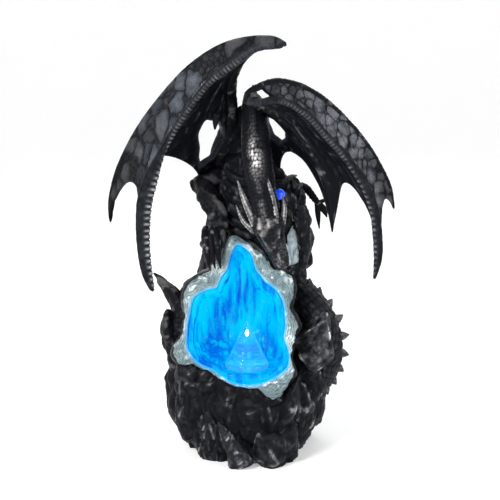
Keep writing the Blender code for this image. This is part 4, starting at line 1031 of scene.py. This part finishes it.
# The rock is an oval column by levels, waved as 1 + a sin 3x + b sin 7x, with its relief and its lip.
def buildRock():
    angle = fullTurn(460)[None]
    height = np.concatenate((np.linspace(0.0, 128, gridCount(205)), np.linspace(128.5, 134, 8)))[:, None]
    levels = np.array(rockValues["levels"], float)
    core = [np.interp(height, levels[:, 0], levels[:, k]) for k in range(1, 5)]
    swell = 1 + 0.045 * np.sin(3 * angle + 0.016 * height) + 0.03 * np.sin(7 * angle - 0.01 * height)
    swell = (swell - 0.05 * easeStep(height, 14, 0)
             * easeStep(np.sin(9 * angle + 0.8 * np.sin(4 * angle)), 0.2, 0.9))
    out = np.stack((np.cos(angle) + 0 * height, np.sin(angle) + 0 * height, 0 * angle * height), -1)
    grid = np.stack((core[0] + core[2] * swell * np.cos(angle), core[1] + core[3] * swell * np.sin(angle),
                     height + 0 * angle), -1)
    lift, paint, silver = rockRelief(grid)
    grid = lippedFront(grid, lift * easeStep(height, 133.5, 120), out)
    makeCasting("rock", [gridPart(grid, paint=paint, silver=silver, tone=0.1)])

    crust = crustGrid()
    noise = layeredNoise(crust / 7.0, 251, 3)
    middle = np.array(geodeValues["centre"]) + mouthBack * 20
    shellRows = (np.arange(len(crust)) < 40)[:, None]
    crust = crust + unitVectors(crust - middle) * (noise * 0.9 * shellRows)[..., None]
    makeCasting("geodeCrust", [gridPart(crust, paint=0.2 + 0.3 * noise,
                                        silver=0.1 * easeStep(noise, 0.4, 0.9))])

    makeCasting("frontBoulders", [rockChunk(*boulder) for boulder in rockValues["boulders"]])
    tooth = ((-5, -44, 1, 10, 6), (-8, -47.5, 9, 7.5, 5), (-14, -47, 20, 4.5, 4), (-21, -45, 32, 0.8, 0.8))
    makeCasting("rockTooth", [rockyTube(tooth, 110, 80, 281)])
    makeCasting("rightFace", [rockChunk((43, -18, 78), (15, 12, 21), 303, 14, 16, 1.4, 0.8, 4.5,
                                        rockValues["faceSides"])])
    print("rock built")


buildRock()


# Dragon body, neck, head.

bodyValues = {  # x, y, z, half width, half thickness; a horn has its root, middle, tip and radius
    "leftShoulder": ((-6, 8, 187, 10, 10), (-20, 4, 185, 9, 9), (-31, -1, 182, 7, 8),
                     (-36, -5, 177, 4.5, 5)),
    "leftArm": ((-34, -2, 188, 4, 4), (-29, -9, 179, 7, 6.5), (-22, -17, 167, 6, 5.5),
                (-20, -22, 158, 5, 4.5), (-23.5, -26, 150, 6.5, 5.5), (-27, -28, 142, 7.2, 5)),
    "rightArm": ((6, 8, 190, 9, 10), (14, 6, 186, 8, 9), (21, 6, 178, 7.5, 8), (26, 5, 167, 7, 7.5),
                 (27, 2, 154, 7.5, 8), (25, -8, 140, 9, 8)),
    "rightThigh": ((36, 16, 104, 8, 10), (39, 8, 92, 11, 13), (40, 0, 76, 12, 14), (38, -6, 60, 11, 12),
                   (36, -10, 48, 7, 8)),
    "leftThigh": ((-36, 16, 106, 9, 10), (-44, 6, 94, 10, 12), (-48, -2, 82, 9, 11), (-49, -6, 68, 6.5, 9),
                  (-47, -8, 58, 5, 6)),
    "leftSpur": ((-66.5, 16, 117, 0.5, 0.5), (-61, 13, 112, 2.4, 2.4), (-54.5, 9, 106, 4.4, 4.2),
                 (-49, 5, 98, 6, 7), (-44, 2, 88, 7, 8)),
    "leftShin": ((-56, -4, 97, 2.2, 2.2), (-55, -6, 90, 5, 5), (-53.5, -8, 79, 6.5, 6.5),
                 (-51, -10, 66, 5, 6), (-49, -8, 54, 5, 6)),
    "web": ((-8, 9, 196, 8, 8), (-8, 8, 212, 7.5, 7), (-7, 6, 224, 5, 5.5), (-6, 4, 231, 3, 3.5),
            (-5.5, 3, 234, 1, 1)),
    "torso": ((0, 20, 92, 38, 24), (-1, 16, 120, 34, 24), (-2, 10, 142, 28, 24), (-3, 5, 163, 25, 20),
              (-2, 8, 184, 23, 18), (0, 12, 207, 13, 12)),
    "neck": ((0, 12, 190, 13, 12), (1, 10, 212, 9, 9), (1, 3, 230, 6.5, 7.5), (2, -13, 236, 6.5, 7.5),
             (3, -27, 228, 8, 8), (4, -37, 212, 9, 8.5), (6, -43, 195, 9, 8.5), (9, -48, 179, 8.5, 8),
             (11, -49, 169, 8, 8)),
    "skull": ((9.5, -48, 178, 6.5, 6.5), (11, -49.5, 168, 9, 7.5), (13, -50, 160, 8.5, 7.5),
              (16, -50, 152, 6.5, 6), (19, -50, 144, 5.2, 4.8), (21.5, -49, 137, 3.6, 3.4)),
    "jaw": ((11, -41, 164, 5, 3.5), (14, -40, 154, 4.5, 3), (17.5, -41, 146, 3.4, 2.4),
            (19.5, -42, 140, 1.8, 1.4)),
    "horns": (((4, -50, 164), (-3, -47, 180), (-8, -43, 193), 2.6),
              ((16, -53, 167), (13.5, -52, 184), (9.5, -49, 200), 2.6),
              ((19.5, -50, 165), (21.5, -47, 175), (20.5, -43, 183), 2.2),
              ((3, -46, 160), (-4, -42, 166), (-9, -38, 176), 1.9),
              ((8, -54, 162), (5, -53, 174), (1, -50, 184), 1.8)),
}


# Overlapping scales on a tube: a scattered grid, closed round it, whose cells are domes.
def scaleRelief(tube, count, length, seed, jitter=0.45):
    places = flatPlaces(tube["length"] / length, tube["angle"] / (2 * math.pi) * count)
    first, second, number = scatterCells(places, seed, jitter, count)
    plateau = easeStep(second - first, 0.03, 0.3)
    dome = 1 - np.clip(first / 0.7, 0, 1) ** 2
    return plateau, dome, number


# A cone with rings round it, like a horn: its radius swells by cosines of its length and its angle.
def hornPart(root, middle, tip, radius, seed, silver=0.45, sides=20):
    tube = ovalTube(((*root, radius, radius), (*middle, radius * 0.72, radius * 0.72), (*tip, 0.35, 0.35)),
                    70, sides, endRound=0.02)
    rings = 0.5 + 0.5 * np.cos(2 * math.pi * tube["length"] / 2.2 + layeredNoise(tube["grid"] / 3, seed, 2))
    flutes = np.cos(tube["angle"] * 5 + tube["length"] * 0.12)
    lift = (0.14 * rings + 0.16 * flutes) * easeStep(tube["half"], 0.4, 1.6)
    grid = tube["grid"] + tube["out"] * lift[..., None]
    bright = easeStep(flutes + 0.5 * rings + layeredNoise(tube["grid"] / 3, seed + 50, 2), 0.2, 1.3)
    return gridPart(grid, paint=0.12 + 0.15 * rings, silver=silver * (0.2 + bright), tone=0.2)


# Two equal soft bumps, as far either side of the top of a tube.
def bothSides(angle, degrees, width):
    return (softBump(angle, math.radians(90 - degrees), width)
            + softBump(angle, math.radians(90 + degrees), width))


# Torso, arms, legs and spines are oval tubes along curves with muscles, sinews, folds or scales on them.
def buildBody():
    torso = ovalTube(bodyValues["torso"], 190, 260, (1, 0, 0), 0.1)
    plateau, dome, number = scaleRelief(torso, 46, 5.0, 401)
    muscle = layeredNoise(torso["grid"] / 15, 405, 2)
    sinew = 1 - np.abs(layeredNoise(torso["grid"] * np.array((1 / 5.0, 1 / 5.0, 1 / 15.0)), 407, 2)) * 1.6
    lift = 0.4 * plateau * dome + 1.4 * muscle + 0.9 * (sinew - 0.6)
    grid = recessed(torso["grid"] + torso["out"] * lift[..., None])
    paint = 0.005 + 0.03 * plateau * dome * (0.5 + number) + 0.05 * easeStep(sinew, 0.7, 1.0)
    makeCasting("torso", [gridPart(grid, paint=paint, silver=0.03 * easeStep(sinew, 0.85, 1.0), tone=0.3)])
    plates = []
    for number in range(6):
        level = 153 + 7.2 * number
        plate = ((-17, -10, level + 5, 1, 2), (-10, -15.5, level, 2.6, 3.6),
                 (-3, -17.5, level - 1.8, 2.6, 4.0), (4, -15.5, level, 2.6, 3.6), (11, -10, level + 5, 1, 2))
        plates.append(carvedLimb(plate, 60, 28, (0, 1, 0), 0.3, 0.1, 0.03, 410 + number))
    makeCasting("bellyPlates", plates)
    fingers = []
    for k in range(3):
        along = 3.6 * k
        finger = ((-29 + along, -21, 158, 1.8, 1.8), (-29 + along, -28, 155, 2.7, 2.4),
                  (-28.5 + along, -33, 148, 2.3, 2.2), (-27.5 + along, -35, 141, 1.7, 1.6),
                  (-26 + along, -35, 133, 0.4, 0.4))
        fingers.append(carvedLimb(finger, 80, 24, (1, 0, 0), 0.2, 0.2, 0.1, 430 + k, 3, 0.04))
    flat, upright = (0, 1, 0), (1, 0, 0)
    makeCasting("leftArm", [
        carvedLimb(bodyValues["leftShoulder"], 90, 60, flat, 0.8, 0.07, 0.02, 421, 4, 0.1, fold=0.8),
        carvedLimb(bodyValues["leftArm"], 120, 60, upright, 0.8, 0.08, 0.03, 423, 4, 0.08, fold=0.7),
        *fingers])
    makeCasting("rightArm", [
        carvedLimb(bodyValues["rightArm"], 120, 60, flat, 0.9, 0.14, 0.03, 441, 4, 0.08, fold=0.7)])
    makeCasting("haunches", [
        carvedLimb(bodyValues["rightThigh"], 120, 90, upright, 0.9, 0.22, 0.05, 451, 4, 0.1, fold=0.8),
        carvedLimb(bodyValues["leftThigh"], 120, 90, upright, 0.9, 0.22, 0.05, 453, 4, 0.1, fold=0.8)])
    makeCasting("leftSpur", [
        carvedLimb(bodyValues["leftSpur"], 110, 48, upright, 0.5, 0.1, 0.04, 461, 4, 0.03, fold=0.6),
        carvedLimb(bodyValues["leftShin"], 100, 60, upright, 0.7, 0.12, 0.04, 463, 4, 0.1, fold=0.8)])
    spines = []
    for number in range(8):
        share = number / 7
        level, depth = 88 + 108 * share, 42 - 20 * share**2
        spines.append(hornPart((0, depth - 6, level), (0, depth + 3, level + 3),
                               (0, depth + 9 - 3 * share, level + 8), 4.0, 470 + number, 0.2, 24))
    makeCasting("backSpines", spines)
    print("body built")


# The neck is a scaled tube with a painted highlight, silver on the scales of one strip. The skull is a tube
# whose brow, sockets, nostrils, lips and cheeks are the sum of soft bumps at set directions and lengths.
def buildNeckAndHead():
    tube = ovalTube(bodyValues["neck"], 330, 120, (1, 0, 0), 0.02)
    plateau, dome = scaleRelief(tube, 28, 2.3, 501, 0.75)[:2]
    ridge = softBump(tube["angle"], math.pi / 2, 0.16) * easeStep(tube["share"], 0.3, 0.5)
    lift = 0.4 * plateau * dome + 1.1 * ridge + 0.5 * layeredNoise(tube["grid"] / 9, 503, 2)
    grid = tube["grid"] + tube["out"] * lift[..., None]
    level = tube["grid"][..., 2]
    patchy = easeStep(layeredNoise(tube["grid"] / 5, 505, 2), -0.9, 0.5)
    # painted highlight: lit puts silver and slate on the scales of one strip where the neck arches, with a
    # faint strip lower down
    lit = (1.1 * softBump(level, 208, 8.5) * softBump(tube["angle"], 1.75, 0.34)
           * easeStep(tube["share"], 0.42, 0.5))
    lit = (np.maximum(lit, 0.16 * softBump(tube["angle"], 1.8, 0.2) * easeStep(tube["share"], 0.5, 0.7))
           * patchy)
    scales = plateau * dome
    makeCasting("neck", [gridPart(grid, paint=0.005 + (0.02 + 0.4 * lit) * plateau * dome,
                                  silver=scales * lit, tone=0.1)])

    tube = ovalTube(bodyValues["skull"], 170, 128, (1, 0, 0), 0.06)
    share, angle = tube["share"], tube["angle"]
    brow = bothSides(angle, 34, 0.2) * softBump(share, 0.36, 0.17)
    socket = bothSides(angle, 52, 0.22) * softBump(share, 0.47, 0.06)
    nostril = bothSides(angle, 26, 0.2) * softBump(share, 0.9, 0.05)
    pit = bothSides(angle, 34, 0.1) * softBump(share, 0.905, 0.022)
    crest = softBump(angle, math.pi / 2, 0.13) * easeStep(share, 0.05, 0.25) * easeStep(share, 0.9, 0.7)
    mouth = bothSides(angle, 104, 0.09) * easeStep(share, 0.42, 0.55)
    lips = (bothSides(angle, 92, 0.1) + bothSides(angle, 116, 0.1)) * easeStep(share, 0.42, 0.6)
    cheek = bothSides(angle, 85, 0.35) * softBump(share, 0.3, 0.12)
    plateau, dome = scaleRelief(tube, 22, 2.2, 511, 0.6)[:2]
    lift = (1.9 * brow - 1.5 * socket + 1.1 * nostril - 1.1 * pit + 0.9 * crest - 1.1 * mouth + 0.5 * lips
            + 1.2 * cheek + 0.28 * plateau * dome + 0.25 * layeredNoise(tube["grid"] / 4, 513, 2))
    grid = tube["grid"] + tube["out"] * lift[..., None]
    toFront = easeStep(np.sin(angle), -0.2, 0.8)
    worn = 0.08 * plateau * dome + 0.45 * brow + 0.35 * crest + 0.2 * nostril + 0.15 * lips
    silver = toFront * worn * (1 - np.clip(socket, 0, 1))
    patchy = easeStep(layeredNoise(tube["grid"] / 3.2, 515, 2), -0.5, 0.7)
    parts = [gridPart(grid, paint=0.01 + 0.07 * plateau * dome * toFront, silver=silver * patchy, tone=0.1)]
    parts.append(carvedLimb(bodyValues["jaw"], 90, 48, (1, 0, 0), 0.4, 0.3, 0.25, 521, 2.5, 0.1))
    for side in (-1, 1):
        eye = ((12.5 + side * 6.4, -54.0, 161, 1.0, 1.0), (13.2 + side * 6.4, -54.4, 159, 1.5, 1.5),
               (13.9 + side * 6.2, -54, 157, 1.0, 1.0))
        parts.append(carvedLimb(eye, 20, 20, (1, 0, 0), 0.05, 0.1, 0.9, 523, 3, 0.4))
        for k in range(4):
            seat = curveAt(bodyValues["skull"], 0.62 + 0.09 * k)
            root = seat[:3] + np.array((side * seat[3] * 0.85, 1.5, 0))
            middle, tip = root + (0.1 * side, 1.6, -0.8), root + (0, 3.0, -1.6)
            parts.append(hornPart(root, middle, tip, 0.7, 530 + k, 0.6, 10))
    makeCasting("head", parts)
    makeCasting("horns", [hornPart(*horn, 540 + k, 0.38) for k, horn in enumerate(bodyValues["horns"])])
    makeCasting("neckCrest", [
        hornPart((2, 1, 228), (2, 3, 241), (2, 0, 248), 4.2, 551, 0.02),
        carvedLimb(bodyValues["web"], 70, 40, lift=0.6, paint=0.08, silver=0.02, seed=553, fold=0.5)])
    print("neck and head built")


buildBody()
buildNeckAndHead()


# Tail, small geode, gem.

tailValues = {  # x, y, z, half width, half thickness
    "coil": ((-6, 40, 64, 13, 13), (14, 41, 78, 12.5, 12.5), (26, 28, 97, 11.5, 11.5),
             (33, 12, 104, 10.5, 10.5), (42, -1, 98, 10, 10), (50.5, -8, 85, 9.5, 9.5), (53, -12, 70, 9, 9),
             (50, -12, 54, 8, 8), (44, -12, 42, 6, 6)),
    "end": ((16, 26, 148, 6, 6), (18, 18, 163, 5, 5), (23, 12, 174.5, 4, 4), (30, 8, 179, 3.2, 3.2),
            (37, 6, 178, 2.8, 2.8), (43, 3, 172, 2.4, 2.4), (47, 1, 166, 1.8, 1.8)),
    "thorns": 14, "tip": (47.0, 1.0, 166.0),
    "leaves": (  # places from the tip, rows, columns, lift, seed
        (((-2, 0, 3, 1.2, 2.4), (2.5, 0, -2, 1.0, 2.2), (4.5, 0, -7, 0.3, 0.3)), 40, 20, 0.15, 633),
        (((-2, 0, 3, 1.2, 2.2), (-1.5, 0, -6, 0.9, 1.7), (-0.5, 0, -15, 0.3, 0.3)), 50, 20, 0.15, 635),
        (((-3, 0, 2, 1.0, 1.6), (3, 0, 4.5, 0.7, 1.2), (5.5, 0, 2.5, 0.3, 0.3)), 30, 16, 0.1, 637)),
}


# The coil is a scaled tube with a row of thorns, its far end a plain tube with three leaves.
def buildTail():
    tube = ovalTube(tailValues["coil"], 300, 110, (0, 0, 1), 0.06)
    plateau, dome, number = scaleRelief(tube, 18, 4.4, 601, 0.35)
    lift = 0.9 * plateau * dome + 0.4 * layeredNoise(tube["grid"] / 6, 603, 2)
    grid = tube["grid"] + tube["out"] * lift[..., None]
    parts = [gridPart(grid, paint=0.04 + 0.16 * plateau * dome * (0.5 + 0.5 * number),
                      silver=0.03 * dome * plateau * number, tone=0.3)]
    for k in range(tailValues["thorns"]):
        seat = curveAt(tailValues["coil"], 0.3 + 0.64 * k / (tailValues["thorns"] - 1))
        out = seat[:3] - np.array((38.0, -6.0, 76.0))
        out = unitVectors(out * np.array((1, 0.3, 1)))
        root = seat[:3] + out * (seat[3] - 2.5)
        tip = seat[:3] + out * (seat[3] + 5.2) + (0.4, 0, 0.6)
        parts.append(hornPart(root, root * 0.45 + tip * 0.55, tip, 3.6, 610 + k, 0.1, 16))
    makeCasting("tailCoil", parts)
    tip = np.array(tailValues["tip"])
    parts = [carvedLimb(tailValues["end"], 150, 30, (0, 1, 0), 0.25, 0.25, 0.1, 631, 3, 0.03, 0.35, 2.4)]
    for leaf, rows, columns, lift, seed in tailValues["leaves"]:
        stations = tuple((*(tip + place[:3]), *place[3:]) for place in leaf)
        parts.append(carvedLimb(stations, rows, columns, (0, 1, 0), lift, 0.25, 0.1, seed))
    makeCasting("tailEnd", parts)
    print("tail built")


ringValues = {
    "centre": (23.5, -12.0, 153.0), "halfWidth": 12.5, "halfHeight": 29.0, "turn": 25.0, "lean": 12.0,
    "gemPlace": (19.0, -24.0, 180.0), "gemRadius": 3.7, "crystalFoot": (30.0, -13.0, 131.0),
    "crystalDark": (0.35, 0.52, 0.6), "crystalPale": (0.85, 0.93, 0.95),
    "boulders": ((32, -8, 173, 4.5, 9), (35, -8, 160, 5, 9), (36.5, -9, 147, 6, 9), (35, -11, 134, 7, 9),
                 (31, -17, 126, 7, 7), (29, -10, 182, 4, 6)),  # place, half width, half height
    "crystals": (((0, 0, -1), (-2, -1, 26), 5.5), ((-4, -1, 0), (-8, -2, 15.6), 4),
                 ((3, 1, 0), (5, 0, 20.8), 4.5), ((0, -3, 0), (1, -5, 11.7), 3.6),
                 ((5, 1, 1), (9, 2, 10.4), 3), ((-3, -3, 0), (-6, -5, 9), 2.4),
                 ((3, -3, 0), (6, -4, 12), 2.6), ((-1, 2, 0), (-4, 2, 21), 3.2)),  # root, tip, radius
}


# A place on an upright oval that is turned to the front left and leans.
def ringPlace(angle, outward=1.0):
    turn, lean = math.radians(ringValues["turn"]), math.radians(ringValues["lean"])
    flat = np.array((math.cos(turn), -math.sin(turn), 0.0))
    up = np.array((0.0, 0.0, 1.0))
    across = flat * math.cos(lean) + up * math.sin(lean)
    tall = up * math.cos(lean) - flat * math.sin(lean)
    return (np.array(ringValues["centre"])
            + across * ringValues["halfWidth"] * outward * np.cos(angle)[..., None]
            + tall * ringValues["halfHeight"] * outward * np.sin(angle)[..., None])


# The ring is a craggy band round the oval, the crystals six-sided prisms with pointed ends, the gem a ball.
def buildSideGeode():
    angle, around = fullTurn(260), fullTurn(72)
    middle = ringPlace(angle)
    out = unitVectors(ringPlace(angle, 1.2) - middle)
    turn = math.radians(ringValues["turn"])
    front = np.array((-math.sin(turn), -math.cos(turn), 0.0))
    size = (5.2 + 1.3 * np.sin(5 * angle) * np.cos(3 * angle))[:, None]
    radial = (out[:, None] * (np.cos(around)[None] * size)[..., None]
              + front * (np.sin(around)[None] * size * 1.15)[..., None])
    grid = middle[:, None] + radial
    fold = 1 - np.abs(layeredNoise(grid / 5.5, 651, 3)) * 1.5
    fine = layeredNoise(grid / 2.0, 653, 2)
    crag = scatterCells(grid / 7.5, 655, 0.9, 0, False)
    facet = easeStep(crag[1] - crag[0], 0.0, 0.4)
    lift = 1.6 * (fold - 0.6) + 2.2 * (crag[2] - 0.5) * facet - 0.8 * (1 - facet) + 0.3 * fine
    grid = grid + unitVectors(radial) * lift[..., None]
    parts = [gridPart(grid, wrapRows=True, cap=None,
                      paint=0.06 + 0.22 * easeStep(fold + 0.3 * fine, 0.6, 1.1) * facet,
                      silver=0.2 * easeStep(fold + 0.4 * fine, 0.95, 1.3), tone=0.2)]
    for k, (x, y, z, wide, tall) in enumerate(ringValues["boulders"]):
        parts.append(rockChunk((x, y, z), (wide, 6.5, tall), 690 + k, 10, 16, 0.7, 0.6, 0.8))
    for k, at in enumerate((0.5, 1.2, 1.9, 2.6)):
        root, tip = ringPlace(np.array(at), 0.9), ringPlace(np.array(at - 0.15), 0.55)
        parts.append(hornPart(root, (root + tip) / 2, tip, 2.6, 660 + k, 0.25, 16))
    parts.append(hornPart((23, -6, 184), (27, -7, 188), (31, -8, 189.5), 2.4, 667, 0.2, 16))
    makeCasting("sideRing", parts)

    crystalMaterial, tree, shader = newMaterial("paleCrystal", (0.55, 0.72, 0.8), 0.12)
    cloud = mapRange(tree, objectNoise(tree, 350.0, 4.0), 0.35, 0.65)
    tree.links.new(mixColour(tree, cloud, ringValues["crystalDark"], ringValues["crystalPale"]),
                   shader.inputs["Base Color"])
    setInputs(shader, {"Transmission Weight": 0.25, "Coat Weight": 0.5})
    parts = []
    foot = np.array(ringValues["crystalFoot"])
    for start, end, radius in ringValues["crystals"]:
        root, tip = foot + start, foot + end
        rows = np.array((0, 0.02, 0.3, 0.74, 0.76, 0.98, 1))[:, None]
        size = np.array((0.7, 0.8, 0.78, 0.74, 0.71, 0.1, 0.03))[:, None] * radius
        angle = np.repeat(np.arange(6) * math.pi / 3, 2) + np.tile((0.0, 0.05), 6)
        axis = unitVectors(tip - root)
        wide = unitVectors(np.cross(axis, (0, 1, 0.3)))
        deep = np.cross(axis, wide)
        grid = ((root + (tip - root) * rows)[:, None] + wide * (size * np.cos(angle))[..., None]
                + deep * (size * np.sin(angle))[..., None])
        parts.append(gridPart(grid))
    makePiece("sideCrystal", parts, crystalMaterial, "side_crystal")

    gemMaterial, tree, shader = newMaterial("blueGem", (0.0, 0.05, 0.85), 0.05)
    depthNoise = objectNoise(tree, 300.0, 2.0)
    tree.links.new(mixColour(tree, depthNoise, (0.0, 0.02, 0.6), (0.0, 0.12, 1.0)),
                   shader.inputs["Base Color"])
    tree.links.new(mixColour(tree, depthNoise, (0.0, 0.02, 0.8), (0.0, 0.1, 1.0)),
                   shader.inputs["Emission Color"])
    setInputs(shader, {"Emission Strength": 0.5, "Coat Weight": 1.0})
    place, radius = ringValues["gemPlace"], ringValues["gemRadius"]
    gem = tuple((place[0], place[1], place[2] + radius * k, 0.98 * radius, 0.98 * radius)
                for k in (-1, -0.5, 0, 0.5, 1))
    tube = ovalTube(gem, 40, 48, (1, 0, 0), 0.5)
    makePiece("blueGem", [gridPart(tube["grid"])], gemMaterial, "blue_gem")
    print("small geode and gem built")


buildTail()
buildSideGeode()


# Camera, floor and lights.

viewValues = {"target": (0.0, 0.0, 0.137), "place": (0.0, -0.8248, 0.3426), "lens": 91.1, "sensor": 36.0,
              "farthest": 20.0, "worldColour": (0.92, 0.95, 1.0), "worldStrength": 0.08,
              "floorColour": (0.75, 0.75, 0.75), "floorLight": 0.34}
lightValues = {  # place, target, size, power, colour
    "key": ((-0.5, -0.7, 0.7), (0, 0, 0.15), 0.3, 10.0, (1.0, 0.98, 0.97)),
    "fill": ((0.75, -0.6, 0.45), (0, 0, 0.13), 0.4, 1.8, (0.9, 0.95, 1.0)),
    "top": ((0.1, 0.15, 0.9), (0, 0, 0.15), 0.5, 1.6, (1, 1, 1)),
    "back": ((-0.2, 0.8, 0.5), (0, 0, 0.15), 0.5, 1.4, (1, 1, 1)),
}


# Puts a lamp or the camera at its place, turned towards its target.
def aimed(item, place, target):
    item.location = place
    direction = unitVectors(np.array(target, float) - np.array(place, float))
    item.rotation_euler = (math.acos(-direction[2]), 0.0, math.atan2(-direction[0], direction[1]))


# Camera, lamps, world and the floor, a disc that turns up into a wall along a quarter circle.
def buildStage():
    camera = bpy.data.objects.new("camera", bpy.data.cameras.new("camera"))
    camera.data.lens = viewValues["lens"]
    camera.data.sensor_width = viewValues["sensor"]
    camera.data.clip_end = viewValues["farthest"]
    bpy.context.scene.collection.objects.link(camera)
    aimed(camera, viewValues["place"], viewValues["target"])
    bpy.context.scene.camera = camera
    for name, (place, target, size, power, colour) in lightValues.items():
        lamp = bpy.data.lights.new(name, "AREA")
        lamp.shape = "DISK"
        lamp.size = size
        lamp.energy = power
        lamp.color = colour
        item = bpy.data.objects.new(name, lamp)
        bpy.context.scene.collection.objects.link(item)
        aimed(item, place, target)
    world = bpy.data.worlds.new("paleRoom")
    world.use_nodes = True
    setInputs(world.node_tree.nodes["Background"], {"Color": (*viewValues["worldColour"], 1),
                                                    "Strength": viewValues["worldStrength"]})
    bpy.context.scene.world = world
    bend = np.linspace(0, math.pi / 2, 16)
    radius = np.concatenate(((0.02, 0.4, 0.8), 1.25 + 0.65 * np.sin(bend), (1.9,)))[:, None]
    height = np.concatenate(((0, 0, 0), 0.65 - 0.65 * np.cos(bend), (3.0,)))[:, None]
    sides = 64
    turn = evenAngles(sides)[None]
    grid = np.stack((radius * np.cos(turn), radius * np.sin(turn), height + 0 * turn), -1)
    quads = gridFaces(len(radius), sides, False, None)[0][:, ::-1]
    centre = list(range(sides))
    mesh = bpy.data.meshes.new("floor")
    mesh.from_pydata(grid.reshape(-1, 3).tolist(), [], [centre, *quads.tolist()])
    mesh.polygons.foreach_set("use_smooth", np.ones(len(quads) + 1, bool))
    floor = bpy.data.objects.new("floor", mesh)
    bpy.context.scene.collection.objects.link(floor)
    material, tree, shader = newMaterial("paleFloor", viewValues["floorColour"], 0.6)
    tree.links.new(mapRange(tree, objectNoise(tree, 40.0), 0.3, 0.7, 0.55, 0.65), shader.inputs["Roughness"])
    setInputs(shader, {"Emission Color": (1, 1, 1, 1), "Emission Strength": viewValues["floorLight"]})
    mesh.materials.append(material)
    bpy.context.scene.view_settings.view_transform = "Standard"
    print("camera, lights and floor set")


buildStage()
